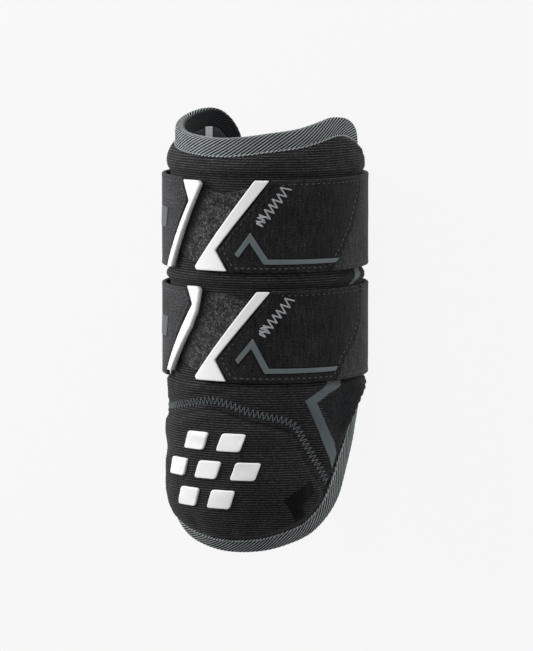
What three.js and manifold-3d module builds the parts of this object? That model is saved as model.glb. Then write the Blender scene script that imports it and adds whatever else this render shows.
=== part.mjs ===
// Baseball elbow guard: a padded shell that curves round the arm, a raised elbow cap,
// a folded edge binding, two broad straps that close round the back, and flat trims.
//
// Frame: +Z up (the front of the guard), +Y along the arm towards the upper rim, +X to the
// guard's right as seen from the front. The guard lies on the flat backs of its two straps.
// Millimetres. Surfaces are set out on a base form: a cylinder about Y that turns into a
// sphere at the elbow. A place on it is (angle, along, off): angle in degrees round the arm
// from the front towards +X, along in mm towards the rim, off in mm out from the pad's skin.
import * as THREE from 'three';
import { mergeVertices } from 'three/addons/utils/BufferGeometryUtils.js';
import Module from 'manifold-3d';

const wasm = await Module();
wasm.setup();

// ---- driving dimensions -------------------------------------------------------------
const SKIN_R = 51;            // pad's outer skin, radius about the arm's axis
const WALL = 9;               // pad, lining and binding together
const ELBOW_Y = -79.57;       // where the cylinder turns into the elbow's sphere
const AXIS_Z = 44.2;          // arm axis above the surface it lies on
const SHIFT_X = 0.77;         // from the arm axis to the middle of the bounding box
const SHIFT_Y = -1.05;
const GAP = 0.32;             // clearance between touching pieces
const EDGE_SAMPLES = 80;      // stations round the pad's edge
const STRIP_DEG = 9;          // width of one facet round the arm

const BINDING_W = 9.3;        // how far the edge tape reaches in from the edge
const BINDING_T = 1.0;        // tape thickness
const PAD_EDGE = 1.6;         // pad's own edge, inside the tape's fold
const PUFF_END = 15;          // where the pad reaches full thickness
const PAD_BACK = -7.65;       // pad's inner face
const LINING_OUT = -8.02, LINING_IN = -9.0;
const DENT = 1.6;             // how far the straps press the pad in
const CAP_RAISE = 1.3;        // elbow cap above the rest of the pad

const STRAP = {
  radius: 50.9, centreX: -0.75,   // inner face of the strap round the pad
  corner: 16, flatZ: -42.0,       // bend towards the flat back, and the flat itself
  band: 2.2, trim: 2.2,           // thicknesses
};
const STRAPS = [
  { name: 'upper', low: 32.4, high: 79.4 },
  { name: 'lower', low: -23.6, high: 23.2 },
];

// ---- tables ---------------------------------------------------------------------------
const rows = (names, data) => data.map(r => Object.fromEntries(names.map((n, i) => [n, r[i]])));

// pad outline, anticlockwise from the lowest point, on the skin
const OUTLINE = rows(['angle', 'along'], [
  [2, -117], [13, -116.5], [26, -115], [35, -113], [43.5, -110.3], [52, -107.2], [57.5, -104.3],
  [62.5, -100.3], [67.5, -95], [71.8, -89.5], [76, -83], [79.6, -76.5], [83.3, -70], [88.3, -62.5], [93.2, -55.5],
  [98, -48.5], [104, -42], [111.5, -34], [119, -24], [123.5, -10], [125, 10], [125, 50], [124, 79],
  [119, 92.5], [110, 100.6], [101, 104.8], [93, 107.4], [86, 108.8], [75, 109.2], [66.6, 107.8], [56.6, 105.8],
  [48.3, 104.3], [38.6, 103.2], [29, 102.3], [20, 101.3], [10, 100.3], [0, 99.6], [-9, 99.5], [-20, 99.9],
  [-30, 100.4], [-45, 101.5], [-56, 102.9], [-66, 104.4], [-82, 106.8], [-97, 109], [-107, 110],
  [-115, 109.8], [-122, 107.8], [-129, 103.2], [-134.5, 96], [-137.5, 86], [-138, 60], [-138, 20],
  [-137, -5], [-132, -20], [-124, -30], [-115, -38], [-107, -44.5], [-100.5, -51.5], [-95, -59.5],
  [-90, -68.5], [-84, -78.5], [-77, -87.7], [-70, -95.7], [-62, -102.5], [-51, -108.2], [-39.7, -111.6],
  [-28.8, -113.9], [-19, -115.6], [-9.7, -116.7]]);

// seam above the elbow cap, left to right
const SEAM = rows(['angle', 'along'], [
  [-112, -72], [-96, -62], [-80, -50.5], [-68, -43.6], [-57, -41.2], [-45, -39.6], [-22.8, -36], [-6.5, -33.4],
  [4.5, -35.1], [15.3, -38.3], [26.7, -40.6], [36.4, -42.7], [44, -46.2], [48.9, -53.5],
  [54.2, -61.4], [59.9, -69], [66, -77.2], [76, -91]]);

// strap pieces: corners on the strap's outer face (angle, along)
const FRONT = {
  upper: {
    panel: [[30, 79.4], [-0.8, 43.5], [6.1, 32.4], [64.5, 32.4], [69.2, 36.8], [74.8, 42.5], [78.2, 47.4], [83, 53.2], [86.2, 59.6], [89.7, 67], [93, 79.4]],
    right: [[20.4, 79.1], [28.6, 79.1], [-2.4, 43.4], [4.4, 33], [-14.6, 33], [-15.9, 34.6]],
    left: [[-24.9, 78.3], [-13.5, 78.3], [-12, 76.4], [-37.9, 32.7], [-43.5, 32.7], [-20.4, 67.8]],
    tab: [[-26.4, 79.4], [-22, 67.8], [-45.1, 32.4]],
    accent: [[18.1, 53], [9.3, 41.7], [11.4, 40], [17.6, 47.8], [25.5, 36.7], [69.2, 36.7], [71.5, 38.8], [27.8, 39.4]],
  },
  lower: {
    panel: [[30.4, 23.2], [-1.4, -12.4], [5.4, -23.6], [69.6, -23.6], [73.2, -17.4], [76.6, -12.5], [83.3, -6.5], [87.6, -2.5], [93, 4.7], [93.5, 23.2]],
    right: [[21.4, 22.8], [29, 22.8], [-2.8, -12.4], [3.8, -23], [-14.8, -23], [-16, -21.4]],
    left: [[-21.8, 24.4], [-14, 24.4], [-12.5, 22.9], [-13.6, 17.3], [-15.2, 11.6], [-19.7, 3.4], [-38.9, -20.6], [-44.2, -20.6], [-17.9, 15.2]],
    tab: [[-23.5, 24.6], [-19.5, 15.2], [-46, -21]],
    accent: [[19.5, -0.6], [9.7, -11.8], [11.2, -14], [18.6, -5.9], [25.9, -18.6], [69, -18.6], [70.6, -16.4], [28.3, -16]],
  },
};
const PATCH = {
  upper: [[-25, 73.5], [-12, 74.6], [-6, 72.9], [1, 71.9], [9, 73.4], [18, 75.2], [24, 75], [3, 45], [10, 36.5], [-20, 36.5], [-34, 41]],
  lower: [[-23, 20.5], [-12, 20.9], [-4, 21.6], [3, 21.2], [10, 19.6], [17, 18.4], [24, 18], [3, -10], [10, -18.5], [-20, -18.5], [-36, -13]],
};
const SIDE_CHEVRON = [[49.2, -33], [64.6, -25.1], [65.4, -24], [76.4, -24], [74.6, -26.2], [64.6, -30.1], [56.5, -34.4], [63, -46.4],
  [68.6, -54.7], [71.3, -60.4], [69.8, -65], [68.1, -69.4], [63, -59.7], [56.8, -46.8]];
const SIDE_STRIPE = [[91.4, 32], [98.6, 32], [97.3, 30], [90.4, 24.4], [90, 23.7], [84.7, 23.7], [85.5, 24.8]];
const CAP_BAND = [[52.5, -73.6], [36.4, -83], [45, -95], [51.5, -94.2], [47.2, -86.6], [54.6, -80]];
// raised studs on the elbow cap, laid like bricks in rows of two, three and two
const CAP_STUDS = rows(['low', 'high', 'left', 'right'], [
  [-58.7, -49.5, -24.1, -10.1], [-58.7, -49.5, -1.7, 12.3],
  [-73.2, -64, -38.4, -24.4], [-73.2, -64, -15.9, -1.9], [-73.2, -64, 6.6, 20.6],
  [-87.7, -78.5, -30.1, -16.1], [-87.7, -78.5, -7.7, 6.3]]);
const STUD_SLANT = 3.6;
const TAB_MARK = rows(['low', 'high', 'left', 'right'], [[52.5, 63, -59, -45]])[0];
const INNER_TAB = rows(['low', 'high', 'left', 'right'], [[86.5, 100.6, -110.4, -103.4]]);

// ---- base form --------------------------------------------------------------------------
const RAD = Math.PI / 180;
function place(angle, along, off) {
  const a = angle * RAD;
  if (along >= ELBOW_Y) {
    const r = SKIN_R + off;
    return [r * Math.sin(a) + SHIFT_X, along - SHIFT_Y, r * Math.cos(a) + AXIS_Z];
  }
  const e = (ELBOW_Y - along) / SKIN_R, r = SKIN_R + off;
  return [r * Math.cos(e) * Math.sin(a) + SHIFT_X, ELBOW_Y - r * Math.sin(e) - SHIFT_Y, r * Math.cos(e) * Math.cos(a) + AXIS_Z];
}
// the other way: angle, along and off of a point
function locate(x, y, z) {
  const px = x - SHIFT_X, py = y + SHIFT_Y, pz = z - AXIS_Z;
  const angle = Math.atan2(px, pz) / RAD;
  if (py >= ELBOW_Y) return { angle, along: py, off: Math.hypot(px, pz) - SKIN_R };
  const q = Math.hypot(px, pz), e = Math.atan2(ELBOW_Y - py, q);
  return { angle, along: ELBOW_Y - e * SKIN_R, off: Math.hypot(q, ELBOW_Y - py) - SKIN_R };
}
// flat chart of the skin: mm round the arm, mm along
const flat = (angle, along) => [angle * RAD * SKIN_R, along];
const unflat = p => [p[0] / (RAD * SKIN_R), p[1]];
const smooth = t => { const c = Math.min(1, Math.max(0, t)); return c * c * (3 - 2 * c); };
const mix = (a, b, t) => a + (b - a) * t;

// ---- the edge and its insets ----------------------------------------------------------------
const edgeCurve = new THREE.CatmullRomCurve3(
  OUTLINE.map(r => new THREE.Vector3(...flat(r.angle, r.along), 0)), true, 'centripetal');
edgeCurve.arcLengthDivisions = 1600;
const edgePts = edgeCurve.getSpacedPoints(EDGE_SAMPLES).slice(0, EDGE_SAMPLES).map(p => [p.x, p.y]);
const edgeNormals = edgePts.map((p, i) => {
  const a = edgePts[(i + EDGE_SAMPLES - 1) % EDGE_SAMPLES], b = edgePts[(i + 1) % EDGE_SAMPLES];
  const squeeze = p[1] < ELBOW_Y ? Math.cos((ELBOW_Y - p[1]) / SKIN_R) : 1;   // parallels shrink on the sphere
  const tx = (b[0] - a[0]) * squeeze, ty = b[1] - a[1], l = Math.hypot(tx, ty);
  return [-ty / l / squeeze, tx / l];
});
const inset = d => edgePts.map((p, i) => [p[0] + edgeNormals[i][0] * d, p[1] + edgeNormals[i][1] * d]);

// how deep the tape lies below the skin: most at the rim, least at the elbow
function recess(along) {
  if (along > 60) return mix(3, 4.4, smooth((along - 60) / 36));
  return mix(1.0, 3, smooth((along + 90) / 62));
}
// the straps press the pad in
function dent(along) {
  let press = 0;
  for (const s of STRAPS) {
    const out = Math.max(s.low - along, along - s.high);
    press = Math.max(press, 1 - smooth((out - 0.8) / 2.6));
  }
  return DENT * press;
}
const edgeDent = along => DENT * (along > 82 ? 1 - smooth((along - 82) / 8) : smooth((along + 38) / 12));

// ---- meshes -----------------------------------------------------------------------------------
const group = new THREE.Group();
function toManifold(positions, index) {
  let g = new THREE.BufferGeometry();
  g.setAttribute('position', new THREE.Float32BufferAttribute(positions, 3));
  g.setIndex(index);
  g = mergeVertices(g, 1e-4);
  const idx = Array.from(g.index.array), clean = [];
  for (let i = 0; i < idx.length; i += 3) {
    if (idx[i] !== idx[i + 1] && idx[i + 1] !== idx[i + 2] && idx[i] !== idx[i + 2]) clean.push(idx[i], idx[i + 1], idx[i + 2]);
  }
  return new wasm.Manifold(new wasm.Mesh({
    numProp: 3, vertProperties: new Float32Array(g.attributes.position.array), triVerts: new Uint32Array(clean) }));
}
function toGeometry(solid, reshape) {
  const m = solid.getMesh(), pos = new Float32Array((m.vertProperties.length / m.numProp) * 3);
  for (let i = 0, n = pos.length / 3; i < n; i++) {
    let p = [m.vertProperties[i * m.numProp], m.vertProperties[i * m.numProp + 1], m.vertProperties[i * m.numProp + 2]];
    if (reshape) p = reshape(p);
    pos.set(p, i * 3);
  }
  const g = new THREE.BufferGeometry();
  g.setAttribute('position', new THREE.BufferAttribute(pos, 3));
  g.setIndex(Array.from(m.triVerts));
  return g;
}
function add(name, geometry, colour, roughness, metalness = 0) {
  const g = geometry.index ? geometry.toNonIndexed() : geometry;
  g.computeVertexNormals();
  const mesh = new THREE.Mesh(g, new THREE.MeshStandardMaterial({ color: colour, roughness, metalness }));
  mesh.name = name;
  group.add(mesh);
}

// A wall on the base form. rings are closed loops of {p, out, in} from the edge inwards, the
// last of which bounds an inner region that is cut into strips.
class Wall {
  constructor() { this.pos = []; this.idx = []; }
  v(p, off) { const [a, l] = unflat(p); this.pos.push(...place(a, l, off)); return this.pos.length / 3 - 1; }
  tri(a, b, c, flip) { if (flip) this.idx.push(a, c, b); else this.idx.push(a, b, c); }
}
// rows of the strip grid: strap edges, and the sphere's parallels
function gridRows() {
  const r = [];
  for (const s of STRAPS) r.push(s.low - 3.4, s.low - 0.8, s.high + 0.8, s.high + 3.4);
  r.sort((a, b) => a - b);
  const merged = r.filter((v, i) => !(i && v - r[i - 1] < 1.2));
  for (let k = 0; k <= 5; k++) merged.push(ELBOW_Y - k * STRIP_DEG * RAD * SKIN_R);
  return merged.sort((a, b) => a - b);
}
const PARALLELS = [8, 7, 6, 5, 4, 3, 2, 1, 0].map(k => ELBOW_Y - k * STRIP_DEG * RAD * SKIN_R);
let ROWS = gridRows();
const COLS = []; for (let a = -153; a <= 153; a += STRIP_DEG) COLS.push(a * RAD * SKIN_R);

// cut points where a loop crosses the grid lines
const snap = (v, lines) => { const c = lines.find(l => Math.abs(l - v) < 0.02); return c === undefined ? v : c; };
function withCrossings(raw) {
  const out = [], loop = raw.map(p => [snap(p[0], COLS), snap(p[1], ROWS)]);
  loop.forEach((p, i) => {
    const q = loop[(i + 1) % loop.length], cuts = [];
    for (const [axis, lines] of [[0, COLS], [1, ROWS]]) for (const c of lines) {
      const t = (c - p[axis]) / (q[axis] - p[axis]);
      if (t > 1e-4 && t < 1 - 1e-4) cuts.push({ t, p: axis ? [mix(p[0], q[0], t), c] : [c, mix(p[1], q[1], t)] });
    }
    out.push({ p, t: i });
    cuts.sort((a, b) => a.t - b.t).forEach(c => out.push({ p: c.p, t: i + c.t }));
  });
  return out;
}
// the parts of a polygon on one side of a grid line
function clip(poly, axis, limit, keepAbove) {
  const o = 1 - axis, inside = p => keepAbove ? p[axis] >= limit - 1e-9 : p[axis] <= limit + 1e-9;
  const n = poly.length, start = poly.findIndex(p => !inside(p));
  if (start < 0) return [poly];
  const chains = []; let chain = null;
  for (let k = 0; k < n; k++) {
    const p = poly[(start + k) % n], q = poly[(start + k + 1) % n], a = inside(p), b = inside(q);
    const t = (limit - p[axis]) / (q[axis] - p[axis]);
    const cross = () => axis ? [mix(p[0], q[0], t), limit] : [limit, mix(p[1], q[1], t)];
    if (!a && b) chain = t < 1 - 1e-7 ? [cross(), q] : [q];
    else if (a && b) chain.push(q);
    else if (a && !b) { if (t > 1e-7) chain.push(cross()); chains.push(chain); chain = null; }
  }
  const ends = [];
  chains.forEach((c, i) => ends.push({ at: c[0][o], chain: i, first: true }, { at: c[c.length - 1][o], chain: i, first: false }));
  ends.sort((x, y) => x.at - y.at);
  const partner = new Map();
  for (let k = 0; k + 1 < ends.length; k += 2) { partner.set(ends[k], ends[k + 1]); partner.set(ends[k + 1], ends[k]); }
  const out = [], used = new Set();
  for (let i = 0; i < chains.length; i++) {
    if (used.has(i)) continue;
    const piece = []; let c = i;
    while (!used.has(c)) {
      used.add(c); piece.push(...chains[c]);
      const mate = partner.get(ends.find(e => e.chain === c && !e.first));
      c = mate.chain;
    }
    if (piece.length > 2) out.push(piece);
  }
  return out;
}
const clipAll = (polys, ...how) => polys.flatMap(p => clip(p, ...how));
const distinct = poly => poly.filter((p, k) => { const q = poly[(k + 1) % poly.length]; return Math.hypot(p[0] - q[0], p[1] - q[1]) > 1e-6; });
// triangles of the region inside a loop, cell by cell
function regionTriangles(loop) {
  const tris = [], xs = [-1e3, ...COLS, 1e3], ys = [-1e3, ...ROWS, 1e3];
  for (let i = 0; i + 1 < xs.length; i++) {
    const strips = clipAll(clip(loop, 0, xs[i], true), 0, xs[i + 1], false);
    for (let j = 0; j + 1 < ys.length; j++) for (let cell of clipAll(clipAll(strips, 1, ys[j], true), 1, ys[j + 1], false)) {
      cell = distinct(cell);
      if (cell.length < 3) continue;
      cell = cell.flatMap((p, k) => {
        const q = cell[(k + 1) % cell.length], axis = Math.abs(p[0] - q[0]) < 1e-9 ? 0 : Math.abs(p[1] - q[1]) < 1e-9 ? 1 : -1;
        if (axis < 0) return [p];
        const o = 1 - axis, lo = Math.min(p[o], q[o]) + 1e-5, hi = Math.max(p[o], q[o]) - 1e-5;
        const on = loop.filter(c => Math.abs(c[axis] - p[axis]) < 1e-9 && c[o] > lo && c[o] < hi);
        return [p, ...on.sort((a, b) => (a[o] - b[o]) * Math.sign(q[o] - p[o]))];
      });
      tris.push(...triangulate(cell));
    }
  }
  return tris;
}
// ear cutting that keeps every point, also those along straight edges
function triangulate(cell) {
  const poly = cell.slice(), tris = [];
  const cross = (a, b, c) => (b[0] - a[0]) * (c[1] - a[1]) - (c[0] - a[0]) * (b[1] - a[1]);
  while (poly.length > 2) {
    let best = -1, score = -Infinity;
    for (let i = 0; i < poly.length; i++) {
      const n = poly.length, a = poly[(i + n - 1) % n], b = poly[i], c = poly[(i + 1) % n], area = cross(a, b, c);
      const longest = Math.max(Math.hypot(a[0] - b[0], a[1] - b[1]), Math.hypot(b[0] - c[0], b[1] - c[1]), Math.hypot(a[0] - c[0], a[1] - c[1]));
      let s = area / (longest * longest + 1e-12);
      if (area < -1e-9) s -= 20; else if (area <= 1e-9) s -= 2;
      for (const p of poly) if (p !== a && p !== b && p !== c) {
        const near = Math.min(cross(a, b, p), cross(b, c, p), cross(c, a, p));
        if (near > 1e-7) s -= 15; else if (near > -1e-7) s -= 1;
      }
      if (s > score) { score = s; best = i; }
    }
    const n = poly.length, t = [poly[(best + n - 1) % n], poly[best], poly[(best + 1) % n]];
    tris.push(t);
    poly.splice(best, 1);
  }
  return tris;
}
// band between two loops with their own stations
function zip(w, A, tA, B, tB, period, flip) {
  let i = 0, j = 0;
  while (i < A.length || j < B.length) {
    const a = A[i % A.length], b = B[j % B.length];
    const na = i < A.length ? (i + 1 < A.length ? tA[i + 1] : period + tA[0]) : Infinity;
    const nb = j < B.length ? (j + 1 < B.length ? tB[j + 1] : period + tB[0]) : Infinity;
    if (na <= nb) { w.tri(a, A[(i + 1) % A.length], b, flip); i++; }
    else { w.tri(a, B[(j + 1) % B.length], b, flip); j++; }
  }
}
// full wall: outRings and inRings are [{d, off(along)}], sharing the first and last d
function wall(outRings, inRings, innerOff, outerOff) {
  const w = new Wall();
  const seq = Array.from({ length: EDGE_SAMPLES }, (_, i) => i);
  const ring = (r) => inset(r.d).map(p => w.v(p, r.off(p[1])));
  const last = outRings[outRings.length - 1];
  const loop = withCrossings(inset(last.d)), pts = loop.map(l => l.p), ts = loop.map(l => l.t);
  const tris = regionTriangles(pts);
  for (const [rings, off, flip, edgeOff] of [[outRings, outerOff, false, last.off], [inRings, innerOff, true, inRings[inRings.length - 1].off]]) {
    let prev = ring(rings[0]);
    rings.slice(1, -1).forEach(r => { const next = ring(r); zip(w, prev, seq, next, seq, EDGE_SAMPLES, flip); prev = next; });
    const inner = pts.map(p => w.v(p, edgeOff(p[1])));
    zip(w, prev, seq, inner, ts, EDGE_SAMPLES, flip);
    const key = p => Math.round(p[0] * 1e4) + ',' + Math.round(p[1] * 1e4), map = new Map();
    pts.forEach((p, i) => map.set(key(p), inner[i]));
    const at = p => { const k = key(p); if (!map.has(k)) map.set(k, w.v(p, off(p[1]))); return map.get(k); };
    for (const [a, b, c] of tris) w.tri(at(a), at(b), at(c), flip);
    if (rings === outRings) w.firstOut = ring(rings[0]); else w.firstIn = ring(rings[0]);
  }
  zip(w, w.firstIn, seq, w.firstOut, seq, EDGE_SAMPLES, false);
  return w;
}

// prism through the wall: a polygon on the chart, carried from one depth to another
function prism(poly, low, high, step = 9) {
  const dense = [];
  poly.forEach((p, i) => {
    const q = poly[(i + 1) % poly.length], a = flat(...p), b = flat(...q);
    const n = Math.max(1, Math.ceil(Math.hypot(a[0] - b[0], a[1] - b[1]) / step));
    for (let k = 0; k < n; k++) dense.push([mix(p[0], q[0], k / n), mix(p[1], q[1], k / n)]);
  });
  const area = THREE.ShapeUtils.area(dense.map(p => new THREE.Vector2(...flat(...p))));
  if (area < 0) dense.reverse();
  const kept = ROWS; ROWS = PARALLELS;
  const loop = withCrossings(dense.map(p => flat(...p))).map(c => c.p), tris = regionTriangles(loop), w = new Wall();
  ROWS = kept;
  for (const [off, flip] of [[high, false], [low, true]]) for (const [a, b, c] of tris) w.tri(w.v(a, off), w.v(b, off), w.v(c, off), flip);
  loop.forEach((p, i) => {
    const q = loop[(i + 1) % loop.length], pl = w.v(p, low), ql = w.v(q, low), ph = w.v(p, high), qh = w.v(q, high);
    w.tri(pl, ql, qh, false); w.tri(pl, qh, ph, false);
  });
  return toManifold(w.pos, w.idx);
}
// thin layer over the outer face of a wall: its outer triangles, lifted
function layerOver(geometry, lo, hi) {
  const g = mergeVertices(geometry.index ? geometry : geometry, 1e-4);
  const P = g.attributes.position, I = g.index.array, where = [];
  for (let i = 0; i < P.count; i++) where.push(locate(P.getX(i), P.getY(i), P.getZ(i)));
  const pos = [], idx = [], n = P.count, edges = new Map();
  for (const off of [lo, hi]) for (const q of where) pos.push(...place(q.angle, q.along, q.off + off));
  for (let i = 0; i < I.length; i += 3) {
    const t = [I[i], I[i + 1], I[i + 2]];
    if (t.some(k => where[k].off < -4.9)) continue;
    const [a, b, c] = t.map(k => new THREE.Vector3(P.getX(k), P.getY(k), P.getZ(k)));
    const normal = b.clone().sub(a).cross(c.clone().sub(a)).normalize();
    const m = where[t[0]], up = new THREE.Vector3(...place(m.angle, m.along, 1)).sub(new THREE.Vector3(...place(m.angle, m.along, 0)));
    if (normal.dot(up) < 0.75) continue;
    idx.push(n + t[0], n + t[1], n + t[2], t[0], t[2], t[1]);
    for (let k = 0; k < 3; k++) {
      const u = t[k], v = t[(k + 1) % 3];
      if (edges.has(v + '_' + u)) edges.delete(v + '_' + u); else edges.set(u + '_' + v, [u, v]);
    }
  }
  for (const [u, v] of edges.values()) idx.push(u, v, n + v, u, n + v, n + u);
  return toManifold(pos, idx);
}

// ---- main pad and elbow cap --------------------------------------------------------------------
const under = a => -(recess(a) + BINDING_T + 0.5);
const padOut = [
  { d: PAD_EDGE, off: under }, { d: BINDING_W + 0.5, off: under },
  { d: BINDING_W + 1.1, off: a => -Math.max(recess(a) - 0.3, edgeDent(a)) },
  { d: 12, off: a => -Math.max(0.4 * recess(a), edgeDent(a)) },
  { d: PUFF_END, off: a => -edgeDent(a) },
];
const padIn = [{ d: PAD_EDGE, off: () => PAD_BACK }, { d: 6, off: () => PAD_BACK }, { d: 10.4, off: () => PAD_BACK }, { d: PUFF_END, off: () => PAD_BACK }];
const padWall = wall(padOut, padIn, () => PAD_BACK, a => -dent(a));
const padSolid = toManifold(padWall.pos, padWall.idx);

const seamLine = new THREE.CatmullRomCurve3(SEAM.map(r => new THREE.Vector3(r.angle, r.along, 0)), false, 'centripetal')
  .getSpacedPoints(40).map(p => [p.x, p.y]);
const curtain = (lift, w) => {
  const up = seamLine.map(p => [p[0], p[1] + lift + w]), down = seamLine.map(p => [p[0], p[1] + lift - w]);
  return [...down, ...up.reverse()];
};
const below = [...seamLine, [80, -140], [-120, -140]];
const capRegion = prism([...seamLine.map(p => [p[0], p[1] - 0.25]), [80, -140], [-120, -140]], -14, 30);
const mainRegion = padSolid.subtract(prism([...seamLine.map(p => [p[0], p[1] + 0.25]), [80, -140], [-120, -140]], -14, 30));
const capRaw = padSolid.intersect(capRegion);
// the cap stands proud of the pad, rounding down to its seam
function seamDrop(angle, along) {
  const p = flat(angle, along); let best = 1e9;
  for (let i = 0; i + 1 < seamLine.length; i++) {
    const a = flat(...seamLine[i]), b = flat(...seamLine[i + 1]);
    const t = Math.min(1, Math.max(0, ((p[0] - a[0]) * (b[0] - a[0]) + (p[1] - a[1]) * (b[1] - a[1])) / ((b[0] - a[0]) ** 2 + (b[1] - a[1]) ** 2)));
    best = Math.min(best, Math.hypot(p[0] - mix(a[0], b[0], t), p[1] - mix(a[1], b[1], t)));
  }
  return best;
}
const raise = p => {
  const q = locate(...p);
  if (q.off < -0.6) return p;
  return place(q.angle, q.along, q.off + CAP_RAISE * smooth(seamDrop(q.angle, q.along) / 5));
};
const padGeo = toGeometry(mainRegion), capGeo = toGeometry(capRaw, raise);
add('main_pad', padGeo, 0x1b1c1e, 0.85);
add('elbow_cap', capGeo, 0x1b1c1e, 0.85);

// ---- lining ---------------------------------------------------------------------------------------
ROWS = PARALLELS;
const liningWall = wall(
  [{ d: 10.2, off: () => LINING_OUT }, { d: PUFF_END, off: () => LINING_OUT }],
  [{ d: 10.2, off: () => LINING_IN }, { d: PUFF_END, off: () => LINING_IN }], () => LINING_IN, () => LINING_OUT);
add('lining', toGeometry(toManifold(liningWall.pos, liningWall.idx)), 0x2a2c2e, 0.9);

// ---- edge binding ---------------------------------------------------------------------------------
{
  // section of the folded tape: depth in from the edge, height between the two legs (0 inner, 1 outer)
  const section = rows(['d', 'leg', 'lift'], [
    [BINDING_W, 1, 0], [1.5, 1, 0], [0.4, 1, -0.9], [0, 0.5, 0], [0.4, 0, 0.9], [1.5, 0, 0], [BINDING_W, 0, 0],
    [BINDING_W, 0, BINDING_T], [1.1, 0, BINDING_T], [1.1, 1, -BINDING_T], [BINDING_W, 1, -BINDING_T]]);
  const pos = [], idx = [], m = section.length;
  const loops = section.map(s => inset(s.d));
  for (let i = 0; i < EDGE_SAMPLES; i++) section.forEach((s, k) => {
    const p = loops[k][i], [a, l] = unflat(p), top = -recess(l);
    pos.push(...place(a, l, mix(-WALL, top, s.leg) + s.lift));
  });
  for (let i = 0; i < EDGE_SAMPLES; i++) for (let k = 0; k < m; k++) {
    const j = (i + 1) % EDGE_SAMPLES, l = (k + 1) % m;
    idx.push(i * m + k, i * m + l, j * m + l, i * m + k, j * m + l, j * m + k);
  }
  const solid = toManifold(pos, idx);
  add('rim_binding', toGeometry(solid), 0x5b6062, 0.8);
}

// ---- straps ---------------------------------------------------------------------------------------
// closed section round the arm, from its inner face outwards by off
function strapSection(off) {
  const R = STRAP.radius + off, c = STRAP.corner + off, z = -STRAP.flatZ + off;
  const turn = Math.acos(-(z - c) / (R - c)), pts = [];
  const n = Math.ceil(turn / RAD / STRIP_DEG);
  for (let i = 0; i <= n; i++) { const a = turn * i / n; pts.push([R * Math.sin(a), R * Math.cos(a)]); }
  const cx = (R - c) * Math.sin(turn), cz = (R - c) * Math.cos(turn);
  for (let i = 1; i <= 3; i++) { const a = mix(turn, Math.PI, i / 3); pts.push([cx + c * Math.sin(a), cz + c * Math.cos(a)]); }
  return [...pts, ...pts.slice(1).reverse().map(p => [-p[0], p[1]])].map(p => [p[0] + STRAP.centreX + SHIFT_X, p[1] + AXIS_Z]);
}
function strapBand(low, high, lo, hi) {
  const inner = strapSection(lo), outer = strapSection(hi), n = inner.length, pos = [], idx = [];
  for (const y of [low, high]) for (const s of [inner, outer]) for (const p of s) pos.push(p[0], y - SHIFT_Y, p[1]);
  for (let i = 0; i < n; i++) {
    const j = (i + 1) % n, q = (a, b, c, d) => idx.push(a, c, b, a, d, c);
    q(n + i, 3 * n + i, 3 * n + j, n + j);      // outer face
    q(i, j, 2 * n + j, 2 * n + i);              // inner face
    q(2 * n + i, 2 * n + j, 3 * n + j, 3 * n + i); // upper edge
    q(i, n + i, n + j, j);                      // lower edge
  }
  return toManifold(pos, idx);
}
const grow = (poly, dAngle, dAlong) => poly.map(p => [p[0] + dAngle, p[1] + dAlong]);
for (const s of STRAPS) {
  const f = FRONT[s.name], band = strapBand(s.low, s.high, 0, STRAP.band);
  const panel = band.intersect(prism(f.panel, -6, 24));
  const panelGeo = toGeometry(panel);
  add('panel_' + s.name, panelGeo, 0x202124, 0.8);

  // the elastic starts a hair past the panel's edge and runs round the back to the left tab
  const edge = f.panel.filter(p => p[0] > 60).map(p => [p[0] + 0.4, p[1]]);
  edge[0] = [edge[0][0], s.low - 5]; edge.push([edge[edge.length - 1][0], s.high + 5]);
  const tabEdge = f.tab.map(p => [p[0] - 0.0, p[1]]);
  tabEdge[0] = [tabEdge[0][0] + 2, s.high + 5]; tabEdge.splice(1, 0, f.tab[0]);
  tabEdge.push([f.tab[2][0] - 1.5, s.low - 5]);
  const front = prism([...edge, ...tabEdge], -6, 60);
  add('strap_' + s.name, toGeometry(band.subtract(front)), 0x1d1e20, 0.85);

  const trimBand = strapBand(s.low + 0.01, s.high + 2, 0, STRAP.trim + 0.2);
  for (const side of ['right', 'left']) {
    add('trim_' + s.name + '_' + side, toGeometry(trimBand.intersect(prism(f[side], -6, 24))), 0xf2f2f0, 0.45);
  }
  add('accent_' + s.name, toGeometry(
    strapBand(s.low - 1, s.high + 1, STRAP.band + GAP - 0.02, STRAP.band + GAP + 0.4).intersect(prism(f.accent, -6, 24))), 0x5a6467, 0.5);

  // small slanted mark on the left tab
  const markBand = strapBand(s.low - 1, s.high + 1, STRAP.band + GAP - 0.02, STRAP.band + GAP + 0.4);
  const drop = STRAPS[0].low - s.low, b = TAB_MARK;
  add('tab_mark_' + s.name, toGeometry(markBand.intersect(
    prism([[b.left, b.low - drop], [b.right, b.low - drop], [b.right + 3, b.high - drop], [b.left + 3, b.high - drop]], -6, 24))), 0x4c5558, 0.6);
}

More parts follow.
